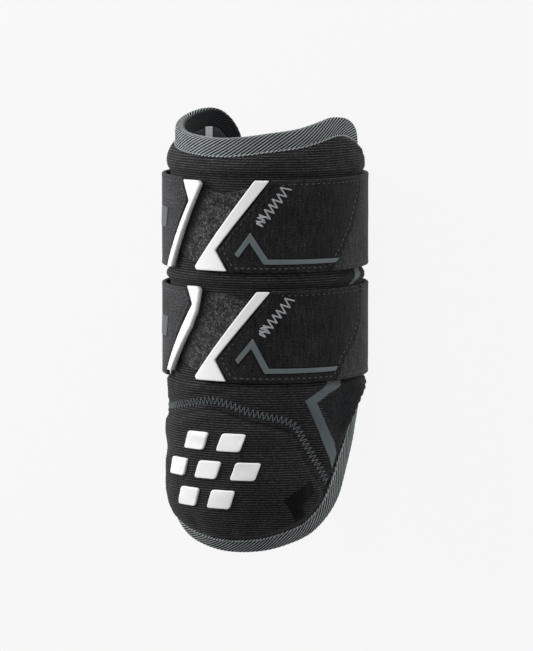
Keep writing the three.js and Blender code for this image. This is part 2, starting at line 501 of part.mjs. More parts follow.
// ---- pieces that lie on the pad --------------------------------------------------------------------
const overPad = (lo, hi) => layerOver(padGeo, lo, hi);
const overCap = (lo, hi) => layerOver(capGeo, lo, hi);
const thin = overPad(0.3, 0.7), capThin = overCap(0.3, 0.6), capThick = overCap(0.3, 1.3);
for (const s of STRAPS) add('loop_patch_' + s.name, toGeometry(prism(PATCH[s.name], GAP - DENT, GAP + 0.55 - DENT)), 0x3a3d40, 1.0);
add('side_chevron', toGeometry(prism(SIDE_CHEVRON, 0.35, 0.75)), 0x5a6467, 0.5);
add('side_stripe', toGeometry(thin.intersect(prism(SIDE_STRIPE, -4, 24))), 0x5a6467, 0.5);
add('cap_band', toGeometry(capThin.intersect(prism(CAP_BAND, -4, 24))), 0x0c0c0d, 0.35);
CAP_STUDS.forEach((b, i) => add('cap_stud_' + (i + 1), toGeometry(capThick.intersect(
  prism([[b.left, b.low], [b.right, b.low], [b.right + STUD_SLANT, b.high], [b.left + STUD_SLANT, b.high]], -4, 24))), 0xf2f2f0, 0.45));
{
  const t = INNER_TAB[0], w = prism([[t.left, t.low], [t.right, t.low], [t.right, t.high], [t.left, t.high]], LINING_IN - 0.75, LINING_IN - 0.3);
  add('inner_tab', toGeometry(w), 0xe6e7e8, 0.6);
}

export default group;
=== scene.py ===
import math

import bpy
import numpy as np
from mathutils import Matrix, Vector, geometry


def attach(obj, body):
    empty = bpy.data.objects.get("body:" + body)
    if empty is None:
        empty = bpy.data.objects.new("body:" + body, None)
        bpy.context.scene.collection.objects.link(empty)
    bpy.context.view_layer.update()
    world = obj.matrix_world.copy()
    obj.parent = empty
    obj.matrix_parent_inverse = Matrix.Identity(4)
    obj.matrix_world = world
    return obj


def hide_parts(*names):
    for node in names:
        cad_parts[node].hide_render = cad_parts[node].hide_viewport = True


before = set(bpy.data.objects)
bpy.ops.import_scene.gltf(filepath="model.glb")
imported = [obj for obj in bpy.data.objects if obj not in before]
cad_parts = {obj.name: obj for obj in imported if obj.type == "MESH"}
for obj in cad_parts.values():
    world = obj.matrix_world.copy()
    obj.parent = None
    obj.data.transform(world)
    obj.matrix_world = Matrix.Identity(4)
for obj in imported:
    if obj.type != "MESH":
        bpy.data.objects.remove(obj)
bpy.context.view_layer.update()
MM = 0.001

# ---- the form, as the CAD has it (millimetres) ------------------------------------------------
SKIN_R, ELBOW_Y, AXIS_Z, SHIFT_X, SHIFT_Y = 51.0, -79.57, 44.2, 0.77, -1.05
BINDING_W, BINDING_T = 9.3, 1.0
PAD_BACK = -7.65
DENT = 1.6
STRAP_R, STRAP_CX, STRAP_CORNER, STRAP_FLAT = 50.9, -0.75, 16.0, -42.0
STRAPS = {"upper": (32.4, 79.4), "lower": (-23.6, 23.2)}
K = math.pi / 180 * SKIN_R  # mm round the skin for one degree

OUTLINE = [
    (2, -117), (13, -116.5), (26, -115), (35, -113), (43.5, -110.3), (52, -107.2), (57.5, -104.3),
    (62.5, -100.3), (67.5, -95), (71.8, -89.5), (76, -83), (79.6, -76.5), (83.3, -70), (88.3, -62.5), (93.2, -55.5),
    (98, -48.5), (104, -42), (111.5, -34), (119, -24), (123.5, -10), (125, 10), (125, 50), (124, 79),
    (119, 92.5), (110, 100.6), (101, 104.8), (93, 107.4), (86, 108.8), (75, 109.2), (66.6, 107.8), (56.6, 105.8),
    (48.3, 104.3), (38.6, 103.2), (29, 102.3), (20, 101.3), (10, 100.3), (0, 99.6), (-9, 99.5), (-20, 99.9),
    (-30, 100.4), (-45, 101.5), (-56, 102.9), (-66, 104.4), (-82, 106.8), (-97, 109), (-107, 110),
    (-115, 109.8), (-122, 107.8), (-129, 103.2), (-134.5, 96), (-137.5, 86), (-138, 60), (-138, 20),
    (-137, -5), (-132, -20), (-124, -30), (-115, -38), (-107, -44.5), (-100.5, -51.5), (-95, -59.5),
    (-90, -68.5), (-84, -78.5), (-77, -87.7), (-70, -95.7), (-62, -102.5), (-51, -108.2), (-39.7, -111.6),
    (-28.8, -113.9), (-19, -115.6), (-9.7, -116.7)]
SEAM = [
    (-112, -72), (-96, -62), (-80, -50.5), (-68, -43.6), (-57, -41.2), (-45, -39.6), (-22.8, -36), (-6.5, -33.4),
    (4.5, -35.1), (15.3, -38.3), (26.7, -40.6), (36.4, -42.7), (44, -46.2), (48.9, -53.5),
    (54.2, -61.4), (59.9, -69), (66, -77.2), (76, -91)]
FRONT = {
    "upper": {
        "panel": [(30, 79.4), (-0.8, 43.5), (6.1, 32.4), (64.5, 32.4), (69.2, 36.8), (74.8, 42.5), (78.2, 47.4), (83, 53.2), (86.2, 59.6), (89.7, 67), (93, 79.4)],
        "right": [(20.4, 79.1), (28.6, 79.1), (-2.4, 43.4), (4.4, 33), (-14.6, 33), (-15.9, 34.6)],
        "left": [(-24.9, 78.3), (-13.5, 78.3), (-12, 76.4), (-37.9, 32.7), (-43.5, 32.7), (-20.4, 67.8)],
        "tab": [(-26.4, 79.4), (-22, 67.8), (-45.1, 32.4)],
        "accent": [(18.1, 53), (9.3, 41.7), (11.4, 40), (17.6, 47.8), (25.5, 36.7), (69.2, 36.7), (71.5, 38.8), (27.8, 39.4)],
        "edge": [(64.5, 32.4), (69.2, 36.8), (74.8, 42.5), (78.2, 47.4), (83, 53.2), (86.2, 59.6), (89.7, 67), (93, 79.4)],
    },
    "lower": {
        "panel": [(30.4, 23.2), (-1.4, -12.4), (5.4, -23.6), (69.6, -23.6), (73.2, -17.4), (76.6, -12.5), (83.3, -6.5), (87.6, -2.5), (93, 4.7), (93.5, 23.2)],
        "right": [(21.4, 22.8), (29, 22.8), (-2.8, -12.4), (3.8, -23), (-14.8, -23), (-16, -21.4)],
        "left": [(-21.8, 24.4), (-14, 24.4), (-12.5, 22.9), (-13.6, 17.3), (-15.2, 11.6), (-19.7, 3.4), (-38.9, -20.6), (-44.2, -20.6), (-17.9, 15.2)],
        "tab": [(-23.5, 24.6), (-19.5, 15.2), (-46, -21)],
        "accent": [(19.5, -0.6), (9.7, -11.8), (11.2, -14), (18.6, -5.9), (25.9, -18.6), (69, -18.6), (70.6, -16.4), (28.3, -16)],
        "edge": [(69.6, -23.6), (73.2, -17.4), (76.6, -12.5), (83.3, -6.5), (87.6, -2.5), (93, 4.7), (93.5, 23.2)],
    },
}
PATCH = {
    "upper": [(-25, 73.5), (-12, 74.6), (-6, 72.9), (1, 71.9), (9, 73.4), (18, 75.2), (24, 75), (3, 45), (10, 36.5), (-20, 36.5), (-34, 41)],
    "lower": [(-23, 20.5), (-12, 20.9), (-4, 21.6), (3, 21.2), (10, 19.6), (17, 18.4), (24, 18), (3, -10), (10, -18.5), (-20, -18.5), (-36, -13)],
}
SIDE_CHEVRON = [(49.2, -33), (64.6, -25.1), (65.4, -24), (76.4, -24), (74.6, -26.2), (64.6, -30.1), (56.5, -34.4), (63, -46.4),
                (68.6, -54.7), (71.3, -60.4), (69.8, -65), (68.1, -69.4), (63, -59.7), (56.8, -46.8)]
SIDE_STRIPE = [(91.4, 32), (98.6, 32), (97.3, 30), (90.4, 24.4), (90, 23.7), (84.7, 23.7), (85.5, 24.8)]
CAP_BAND = [(52.5, -73.6), (36.4, -83), (45, -95), (51.5, -94.2), (47.2, -86.6), (54.6, -80)]
CAP_STUDS = [(-58.7, -49.5, -24.1, -10.1), (-58.7, -49.5, -1.7, 12.3),
             (-73.2, -64, -38.4, -24.4), (-73.2, -64, -15.9, -1.9), (-73.2, -64, 6.6, 20.6),
             (-87.7, -78.5, -30.1, -16.1), (-87.7, -78.5, -7.7, 6.3)]
STUD_SLANT = 3.6
TAB_MARK = (52.5, 63, -59, -45)
INNER_TAB = (86.5, 100.6, -110.4, -103.4)


# ---- chart maths ------------------------------------------------------------------------------
def smooth(t):
    c = np.clip(t, 0.0, 1.0)
    return c * c * (3 - 2 * c)


def mix(a, b, t):
    return a + (b - a) * t


def place(x, v, off):
    """Chart (mm round the skin, mm along, mm out) to the row frame, in mm."""
    x, v, off = np.broadcast_arrays(np.asarray(x, float), np.asarray(v, float), np.asarray(off, float))
    a = x / SKIN_R
    e = np.maximum(0.0, (ELBOW_Y - v) / SKIN_R)
    r = SKIN_R + off
    y = np.where(e > 0, ELBOW_Y - r * np.sin(e), v)
    q = r * np.cos(e)
    return np.stack([q * np.sin(a) + SHIFT_X, y - SHIFT_Y, q * np.cos(a) + AXIS_Z], -1)


def recess(v):
    v = np.asarray(v, float)
    return np.where(v > 60, mix(3, 4.4, smooth((v - 60) / 36)), mix(1.0, 3, smooth((v + 90) / 62)))


def dent(v):
    v = np.asarray(v, float)
    press = np.zeros_like(v)
    for low, high in STRAPS.values():
        out = np.maximum(low - v, v - high)
        press = np.maximum(press, 1 - smooth((out - 0.6) / 3.4))
    return (DENT + 0.12) * press


def catmull(points, n, closed):
    """Centripetal Catmull-Rom through the points, n even steps of its length."""
    p = np.asarray(points, float)
    if closed:
        p = np.vstack([p[-1], p, p[0], p[1]])
    else:
        p = np.vstack([2 * p[0] - p[1], p, 2 * p[-1] - p[-2]])
    out = []
    t = np.linspace(0, 1, 41)[:-1, None]
    for i in range(len(p) - 3):
        p0, p1, p2, p3 = p[i:i + 4]
        d0, d1, d2 = (max(1e-4, np.linalg.norm(b - a) ** 0.5) for a, b in ((p0, p1), (p1, p2), (p2, p3)))
        t1 = ((p1 - p0) / d0 - (p2 - p0) / (d0 + d1) + (p2 - p1) / d1) * d1
        t2 = ((p2 - p1) / d1 - (p3 - p1) / (d1 + d2) + (p3 - p2) / d2) * d1
        out.append(p1 + t1 * t + (-3 * p1 + 3 * p2 - 2 * t1 - t2) * t ** 2 + (2 * p1 - 2 * p2 + t1 + t2) * t ** 3)
    out = np.vstack(out + ([] if closed else [p[-2][None]]))
    if closed:
        out = np.vstack([out, out[:1]])
    s = np.r_[0, np.cumsum(np.hypot(*np.diff(out, axis=0).T))]
    want = np.linspace(0, s[-1], n + 1)
    if closed:
        want = want[:-1]
    return np.stack([np.interp(want, s, out[:, 0]), np.interp(want, s, out[:, 1])], 1), s[-1]


def edge_frame(n):
    pts, length = catmull([(a * K, v) for a, v in OUTLINE], n, True)
    nxt, prv = np.roll(pts, -1, 0), np.roll(pts, 1, 0)
    squeeze = np.where(pts[:, 1] < ELBOW_Y, np.cos((ELBOW_Y - pts[:, 1]) / SKIN_R), 1.0)
    tx, ty = (nxt[:, 0] - prv[:, 0]) * squeeze, nxt[:, 1] - prv[:, 1]
    l = np.hypot(tx, ty)
    return pts, np.stack([-ty / l / squeeze, tx / l], 1), length


seam_pts, _ = catmull(SEAM, 300, False)


def seam_at(x):
    return np.interp(np.asarray(x) / K, seam_pts[:, 0], seam_pts[:, 1])


def seam_side(x, v):
    """Signed distance from the seam, positive above it."""
    slope = (seam_at(np.asarray(x) + 0.5) - seam_at(np.asarray(x) - 0.5))
    return (v - seam_at(x)) / np.sqrt(1 + slope ** 2)


EDGE_LOOK, _, _ = edge_frame(1500)


def edge_dist(x, v):
    """Distance in from the pad's edge, negative outside."""
    x, v = np.ravel(x).astype(float), np.ravel(v).astype(float)
    sq = np.where(v < ELBOW_Y, np.cos((ELBOW_Y - v) / SKIN_R), 1.0)
    out = np.empty(len(x))
    for a in range(0, len(x), 4000):
        s = slice(a, a + 4000)
        dx = (x[s, None] - EDGE_LOOK[None, :, 0]) * sq[s, None]
        dv = v[s, None] - EDGE_LOOK[None, :, 1]
        out[s] = np.sqrt((dx * dx + dv * dv).min(1))
    poly = EDGE_LOOK[::6]
    return np.where(inside(x, v, poly), out, -out)


def inside(x, v, poly):
    poly = np.asarray(poly, float)
    res = np.zeros(len(x), bool)
    for (x0, y0), (x1, y1) in zip(poly, np.roll(poly, -1, 0)):
        if y0 == y1:
            continue
        hit = (v < y0) != (v < y1)
        res ^= hit & (x < (x1 - x0) * (v - y0) / (y1 - y0) + x0)
    return res


def vnoise(x, y, scale, seed, stretch=1.0):
    """Smooth value noise, about -1 to 1."""
    lattice = np.random.default_rng(seed).uniform(-1, 1, (97, 97))
    u, w = np.asarray(x, float) / scale + 41.3, np.asarray(y, float) / (scale * stretch) + 37.7
    i, j = np.floor(u).astype(int), np.floor(w).astype(int)
    fu, fw = smooth(u - i), smooth(w - j)
    g = lambda a, b: lattice[a % 97, b % 97]
    return mix(mix(g(i, j), g(i + 1, j), fu), mix(g(i, j + 1), g(i + 1, j + 1), fu), fw)


def poly_dist(x, v, poly, closed=True):
    p = np.asarray(poly, float)
    q = np.roll(p, -1, 0) if closed else p[1:]
    best = np.full(len(x), 1e9)
    for (x0, y0), (x1, y1) in zip(p, q):
        ex, ey = x1 - x0, y1 - y0
        t = np.clip(((x - x0) * ex + (v - y0) * ey) / (ex * ex + ey * ey + 1e-12), 0, 1)
        best = np.minimum(best, np.hypot(x - x0 - t * ex, v - y0 - t * ey))
    return best


# ---- meshes -----------------------------------------------------------------------------------
def make(name, verts, faces, material, replaces=(), chart=None, corner_chart=None, smooth_shade=True, extra=None):
    """A piece from points in mm; chart is each point's own (across, along, out) for its material."""
    me = bpy.data.meshes.new(name)
    me.from_pydata((np.asarray(verts) * MM).tolist(), [], [tuple(int(k) for k in f) for f in faces])
    if chart is not None:
        at = me.attributes.new("chart", "FLOAT_VECTOR", "POINT")
        at.data.foreach_set("vector", np.ascontiguousarray(chart, np.float32).ravel())
    if corner_chart is not None:
        at = me.attributes.new("chart", "FLOAT_VECTOR", "CORNER")
        at.data.foreach_set("vector", np.ascontiguousarray(corner_chart, np.float32).ravel())
    for key, values in (extra or {}).items():
        at = me.attributes.new(key, "FLOAT", "POINT")
        at.data.foreach_set("value", np.ascontiguousarray(values, np.float32))
    me.materials.append(material)
    me.validate()
    me.update()
    if smooth_shade:
        me.shade_smooth()
    o = bpy.data.objects.new(name, me)
    bpy.context.scene.collection.objects.link(o)
    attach(o, "root")
    if replaces:
        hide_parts(*replaces)
    return o


# ---- materials --------------------------------------------------------------------------------
class Mat:
    """A small node-graph writer."""

    def __init__(self, name, roughness=0.8, **sockets):
        self.m = bpy.data.materials.new(name)
        self.m.use_nodes = True
        self.t = self.m.node_tree
        self.b = self.t.nodes["Principled BSDF"]
        self.b.inputs["Roughness"].default_value = roughness
        for k, v in sockets.items():
            self.b.inputs[k.replace("_", " ")].default_value = v
        a = self.t.nodes.new("ShaderNodeAttribute")
        a.attribute_name = "chart"
        self.chart = a.outputs["Vector"]
        sep = self.t.nodes.new("ShaderNodeSeparateXYZ")
        self.t.links.new(self.chart, sep.inputs[0])
        self.x, self.y, self.z = sep.outputs[:3]

    def attr(self, name):
        a = self.t.nodes.new("ShaderNodeAttribute")
        a.attribute_name = name
        return a.outputs["Fac"]

    def math(self, op, *args, clamp=False):
        n = self.t.nodes.new("ShaderNodeMath")
        n.operation = op
        n.use_clamp = clamp
        for i, a in enumerate(args):
            if isinstance(a, (int, float)):
                n.inputs[i].default_value = a
            else:
                self.t.links.new(a, n.inputs[i])
        return n.outputs[0]

    def wave(self, coord, pitch, phase=0.0):
        """0 to 1 along coord with the given pitch."""
        s = self.math("SINE", self.math("MULTIPLY_ADD", coord, 2 * math.pi / pitch, phase))
        return self.math("MULTIPLY_ADD", s, 0.5, 0.5)

    def scaled(self, sx, sy, sz=1.0):
        n = self.t.nodes.new("ShaderNodeVectorMath")
        n.operation = "MULTIPLY"
        self.t.links.new(self.chart, n.inputs[0])
        n.inputs[1].default_value = (sx, sy, sz)
        return n.outputs[0]

    def noise(self, sx, sy, detail=3, rough=0.55, sz=1.0):
        n = self.t.nodes.new("ShaderNodeTexNoise")
        n.inputs["Scale"].default_value = 1.0
        n.inputs["Detail"].default_value = detail
        n.inputs["Roughness"].default_value = rough
        self.t.links.new(self.scaled(sx, sy, sz), n.inputs["Vector"])
        return n.outputs["Fac"]

    def voronoi(self, sx, sy, feature="F1"):
        n = self.t.nodes.new("ShaderNodeTexVoronoi")
        n.feature = feature
        n.inputs["Scale"].default_value = 1.0
        self.t.links.new(self.scaled(sx, sy), n.inputs["Vector"])
        return n.outputs["Distance"]

    def ramp(self, fac, stops):
        n = self.t.nodes.new("ShaderNodeValToRGB")
        while len(n.color_ramp.elements) < len(stops):
            n.color_ramp.elements.new(0.5)
        for e, (p, c) in zip(n.color_ramp.elements, stops):
            e.position = p
            e.color = (*c, 1) if not isinstance(c, (int, float)) else (c, c, c, 1)
        self.t.links.new(fac, n.inputs[0])
        return n.outputs[0]

    def blend(self, fac, a, b, mode="MIX"):
        n = self.t.nodes.new("ShaderNodeMix")
        n.data_type = "RGBA"
        n.blend_type = mode
        for sock, v in ((n.inputs[0], fac), (n.inputs[6], a), (n.inputs[7], b)):
            if isinstance(v, (int, float)):
                sock.default_value = v
            elif isinstance(v, tuple):
                sock.default_value = (*v, 1)
            else:
                self.t.links.new(v, sock)
        return n.outputs[2]

    def bump(self, height, distance, strength=1.0, then=None):
        n = self.t.nodes.new("ShaderNodeBump")
        n.inputs["Strength"].default_value = strength
        n.inputs["Distance"].default_value = distance * MM
        self.t.links.new(height, n.inputs["Height"])
        if then is not None:
            self.t.links.new(then, n.inputs["Normal"])
        return n.outputs[0]

    def out(self, colour=None, rough=None, normal=None):
        for sock, v in (("Base Color", colour), ("Roughness", rough), ("Normal", normal)):
            if v is not None:
                self.t.links.new(v, self.b.inputs[sock])
        return self.m


def lin(h):
    return tuple(((c / 255 + 0.055) / 1.055) ** 2.4 if c > 10 else c / 255 / 12.92 for c in (h >> 16, h >> 8 & 255, h & 255))


RIB = 1.25
BETA, PITCH = math.radians(26), 1.35  # the edge tape's slanting ribs


def mat_pad():
    m = Mat("pad_knit", Sheen_Weight=0.05, Sheen_Roughness=0.5, Specular_IOR_Level=0.1)
    rib = m.wave(m.y, RIB, math.pi / 2)
    yarn = m.wave(m.x, 0.62)
    slub = m.noise(0.55, 3.2, 2)
    fine = m.noise(0.8, 1.6, 3, 0.6)
    cloud = m.noise(0.05, 0.08, 2)
    patchy = m.noise(0.35, 0.5, 3, 0.6)
    # painted sheen and painted shade: the rib crowns are painted lighter and the hollows near black, on top of the
    # ribs' bump
    base = m.ramp(rib, [(0.0, lin(0x030303)), (0.5, lin(0x101011)), (0.8, lin(0x2e2e2f)), (1.0, lin(0x4b4b4c))])
    flat_ = m.ramp(slub, [(0.3, lin(0x0a0a0b)), (0.7, lin(0x2c2c2e))])
    col = m.blend(m.ramp(patchy, [(0.35, 0.15), (0.7, 0.65)]), base, flat_)
    col = m.blend(1.0, col, m.ramp(cloud, [(0.3, 0.78), (0.7, 1.15)]), "MULTIPLY")
    col = m.blend(1.0, col, m.ramp(fine, [(0.32, 0.35), (0.68, 1.8)]), "MULTIPLY")
    # open mesh zones: short ribs across the others, with pin holes
    holes = m.voronoi(1.0, 0.85)
    mesh = m.ramp(holes, [(0.1, lin(0x040404)), (0.4, lin(0x0f1011)), (0.8, lin(0x27292b))])
    mesh = m.blend(0.45, mesh, m.ramp(m.wave(m.x, 1.5), [(0.0, lin(0x060606)), (1.0, lin(0x222426))]))
    # the shade attribute multiplies in painted light on the open mesh by the collar and painted shade in the crease
    # under the cap's seam
    col = m.blend(1.0, m.blend(m.attr("zone"), col, mesh), m.attr("shade"), "MULTIPLY")
    h = m.math("ADD", m.math("MULTIPLY", rib, 0.6), m.math("ADD", m.math("MULTIPLY", yarn, 0.2), m.math("MULTIPLY", fine, 0.5)))
    return m.out(col, m.ramp(fine, [(0.2, 0.7), (0.8, 0.92)]), m.bump(h, 0.16, 0.8))


def mat_lining():
    m = Mat("lining_mesh", Sheen_Weight=0.1, Specular_IOR_Level=0.2)
    a = m.wave(m.math("ADD", m.x, m.math("MULTIPLY", m.y, 0.58)), 2.3)
    b = m.wave(m.math("SUBTRACT", m.x, m.math("MULTIPLY", m.y, 0.58)), 2.3)
    hole = m.math("MULTIPLY", a, b)
    grain = m.noise(3, 3, 2)
    col = m.ramp(hole, [(0.35, lin(0x303336)), (0.62, lin(0x0c0d0e))])
    col = m.blend(1.0, col, m.ramp(grain, [(0.25, 0.8), (0.75, 1.2)]), "MULTIPLY")
    return m.out(col, m.ramp(grain, [(0.2, 0.75), (0.8, 0.95)]), m.bump(m.math("SUBTRACT", grain, hole), 0.35, 0.8))


def mat_binding():
    m = Mat("binding_tape", Sheen_Weight=0.04, Sheen_Roughness=0.4, Specular_IOR_Level=0.18)
    # the chart here is (along the edge, across the tape); ribs run at 26 degrees
    ph = m.math("ADD", m.math("MULTIPLY", m.x, math.sin(BETA) * 2 * math.pi / PITCH),
                m.math("MULTIPLY", m.y, math.cos(BETA) * 2 * math.pi / PITCH))
    rib = m.math("MULTIPLY_ADD", m.math("COSINE", ph), 0.5, 0.5)
    fine = m.noise(3.2, 3.2, 2)
    cloud = m.noise(0.09, 0.2, 2)
    col = m.ramp(rib, [(0.12, lin(0x050606)), (0.42, lin(0x212526)), (0.66, lin(0x747c7d)), (0.95, lin(0xa4abac))])
    # the fold's inner side, past 12 mm across the tape, is painted darker: painted shade inside the fold
    inner = m.math("MULTIPLY", m.math("SUBTRACT", m.y, 12.0), 0.5, clamp=True)
    col = m.blend(inner, col, m.ramp(rib, [(0.1, lin(0x08090a)), (0.9, lin(0x202325))]))
    col = m.blend(1.0, col, m.ramp(fine, [(0.25, 0.75), (0.75, 1.2)]), "MULTIPLY")
    col = m.blend(1.0, col, m.ramp(cloud, [(0.3, 0.85), (0.7, 1.1)]), "MULTIPLY")
    return m.out(col, m.ramp(rib, [(0, 0.9), (1, 0.68)]), m.bump(m.math("ADD", rib, fine), 0.1, 0.6))


def mat_strap(name, pitch, lo, hi, coarse, tab=False):
    m = Mat(name, Sheen_Weight=0.04, Specular_IOR_Level=0.1)
    rib = m.wave(m.y, pitch)
    yarn = m.wave(m.math("ADD", m.x, m.math("MULTIPLY", m.y, 0.3)), coarse)
    fine = m.noise(1.05, 1.05, 3, 0.6)
    warp = m.noise(0.85, 0.1, 3, 0.6)
    cloud = m.noise(0.045, 0.07, 2)
    k = m.math("MULTIPLY", m.math("MULTIPLY_ADD", rib, 0.55, 0.45), m.math("MULTIPLY_ADD", yarn, 0.5, 0.5))
    col = m.ramp(k, [(0.0, lo), (1.0, hi)])
    col = m.blend(1.0, col, m.ramp(warp, [(0.3, 0.45), (0.7, 1.6)]), "MULTIPLY")
    if tab:
        # the plain close fabric of the strap's end, at the guard's left front
        felt = m.noise(1.2, 1.2, 3, 0.65)
        plain = m.ramp(felt, [(0.3, lin(0x222224)), (0.7, lin(0x4a4a4d))])
        col = m.blend(m.math("MULTIPLY", m.math("SUBTRACT", m.x, TAB_FROM), 0.5, clamp=True), col, plain)
    col = m.blend(1.0, col, m.ramp(fine, [(0.32, 0.3), (0.68, 1.8)]), "MULTIPLY")
    col = m.blend(1.0, col, m.ramp(cloud, [(0.3, 0.7), (0.7, 1.2)]), "MULTIPLY")
    h = m.math("ADD", k, m.math("MULTIPLY", fine, 0.5))
    return m.out(col, m.ramp(fine, [(0.2, 0.66), (0.8, 0.9)]), m.bump(h, 0.14, 0.8))


def mat_plastic(name, colour, roughness, dark=0.93, grain=0.02, spec=0.45):
    m = Mat(name, roughness, Specular_IOR_Level=spec)
    cloud = m.noise(0.12, 0.12, 3)
    fine = m.noise(5, 5, 2)
    col = m.blend(m.ramp(cloud, [(0.3, 0.0), (0.7, 1.0)]), tuple(c * dark for c in colour), colour)
    col = m.blend(m.ramp(fine, [(0.62, 0.0), (0.85, 0.35)]), col, tuple(c * 0.8 for c in colour))
    rough = m.ramp(fine, [(0.2, max(0.05, roughness - 0.07)), (0.8, min(1, roughness + 0.1))])
    return m.out(col, rough, m.bump(m.math("ADD", fine, cloud), grain, 0.7))


def mat_loop(name, top):
    m = Mat(name, Sheen_Weight=0.06, Sheen_Roughness=0.45, Specular_IOR_Level=0.1)
    tuft = m.noise(1.15, 0.95, 4, 0.7)
    nap = m.noise(0.28, 0.35, 3, 0.6)
    hair = m.noise(6.0, 3.0, 2, 0.6)
    col = m.ramp(tuft, [(0.3, lin(0x101011)), (0.5, lin(0x323233)), (0.72, lin(0x747476))])
    col = m.blend(1.0, col, m.ramp(nap, [(0.32, 0.5), (0.68, 1.45)]), "MULTIPLY")
    col = m.blend(1.0, col, m.ramp(hair, [(0.3, 0.7), (0.7, 1.3)]), "MULTIPLY")
    # painted shadow: the pile is darkened towards the left trim's slanted edge, as if shaded by the strap's raised end
    beside = m.math("SUBTRACT", m.x, m.math("MULTIPLY_ADD", m.y, 0.53, -12.2 * K - 0.53 * top))
    col = m.blend(1.0, col, m.ramp(m.math("MULTIPLY", beside, 0.1, clamp=True), [(0.0, 0.08), (0.35, 0.3), (0.85, 1.1)]), "MULTIPLY")
    h = m.math("ADD", tuft, m.math("MULTIPLY", hair, 0.5))
    return m.out(col, m.ramp(hair, [(0.2, 0.85), (0.8, 1.0)]), m.bump(h, 0.7, 0.9))


def mat_thread(name, colour, pitch=0.5):
    m = Mat(name, 0.6, Sheen_Weight=0.2, Specular_IOR_Level=0.35)
    twist = m.wave(m.math("ADD", m.x, m.y), pitch)
    fine = m.noise(6, 6, 2)
    col = m.ramp(twist, [(0.0, tuple(c * 0.45 for c in colour)), (0.6, colour), (1.0, tuple(min(1, c * 1.2) for c in colour))])
    return m.out(m.blend(1.0, col, m.ramp(fine, [(0.25, 0.8), (0.75, 1.15)]), "MULTIPLY"), m.ramp(fine, [(0.2, 0.55), (0.8, 0.8)]),
                 m.bump(twist, 0.1, 0.6))


def mat_tape():
    m = Mat("white_tape", 0.7, Sheen_Weight=0.15)
    a, b = m.wave(m.x, 0.55), m.wave(m.y, 0.55)
    k = m.math("MULTIPLY", a, b)
    cloud = m.noise(0.3, 0.3, 2)
    col = m.ramp(k, [(0.0, lin(0xb9bbbd)), (1.0, lin(0xf0f1f2))])
    return m.out(m.blend(1.0, col, m.ramp(cloud, [(0.3, 0.88), (0.7, 1.0)]), "MULTIPLY"), m.ramp(k, [(0, 0.8), (1, 0.6)]), m.bump(k, 0.1, 0.7))


TAB_FROM = 2 * (52.0 * 2.4 + 17.1 * 0.74 + 23.5) - 78.0  # length round the strap where its plain end starts
PAD = mat_pad()
LINING = mat_lining()
TAPE = mat_binding()
WEB = mat_strap("strap_webbing", 0.85, lin(0x050505), lin(0x2b2b2d), 0.8)
ELASTIC = mat_strap("strap_elastic", 1.0, lin(0x0c0c0c), lin(0x3f3f40), 1.1, True)
WHITE = mat_plastic("white_rubber", (0.89, 0.89, 0.885), 0.42, 0.97)
GREY = mat_plastic("grey_print", lin(0x5e686b), 0.5, 0.85)
SIDEGREY = mat_plastic("side_grey", lin(0x4b5559), 0.6, 0.85)
TABGREY = mat_plastic("tab_grey", lin(0x4a5356), 0.6)
FILM = mat_plastic("black_film", lin(0x09090a), 0.5, 0.8, 0.01, 0.12)
LOOP = {"upper": mat_loop("loop_pile_upper", 76.4), "lower": mat_loop("loop_pile_lower", 22.9)}
THREAD_LIGHT = mat_thread("thread_light", lin(0xa9afb1))
THREAD_GREY = mat_thread("thread_grey", lin(0x687275))
THREAD_DARK = mat_thread("thread_dark", lin(0x54585a))
WTAPE = mat_tape()


# ---- pad and cap --------------------------------------------------------------------------------
def side_roll(x, v):
    """Where the padding rolls out over the edge tape, below the lower strap on the right."""
    a = np.asarray(x) / K
    return smooth((a - 72) / 22) * smooth((v + 66) / 22) * smooth((-20.5 - v) / 6)


def collar_roll(x, v):
    """Where the padding stands full right up to the edge tape: the collar's right shoulder."""
    a = np.asarray(x) / K
    return smooth((a - 76) / 14) * smooth((v - 79) / 5)


def edge_rise(d, v, roll=0.0, full=0.0):
    r = recess(v) + BINDING_T + 0.3
    t = np.clip((d - 9.45) / (9.0 - 5.2 * roll - 5.6 * full), 0, 1)
    return r * (1 - np.sqrt(np.clip(1 - (1 - t) ** 2, 0, 1)))


PUFF = None  # (x0, v0, step, array of mm out), from the cloth simulation


def puff_at(x, v):
    if PUFF is None:
        return np.zeros_like(np.asarray(x, float))
    x0, v0, step, grid = PUFF
    u, w = (np.asarray(x) - x0) / step, (np.asarray(v) - v0) / step
    i = np.clip(np.floor(u).astype(int), 0, grid.shape[0] - 2)
    j = np.clip(np.floor(w).astype(int), 0, grid.shape[1] - 2)
    fu, fw = np.clip(u - i, 0, 1), np.clip(w - j, 0, 1)
    return mix(mix(grid[i, j], grid[i + 1, j], fu), mix(grid[i, j + 1], grid[i + 1, j + 1], fu), fw)


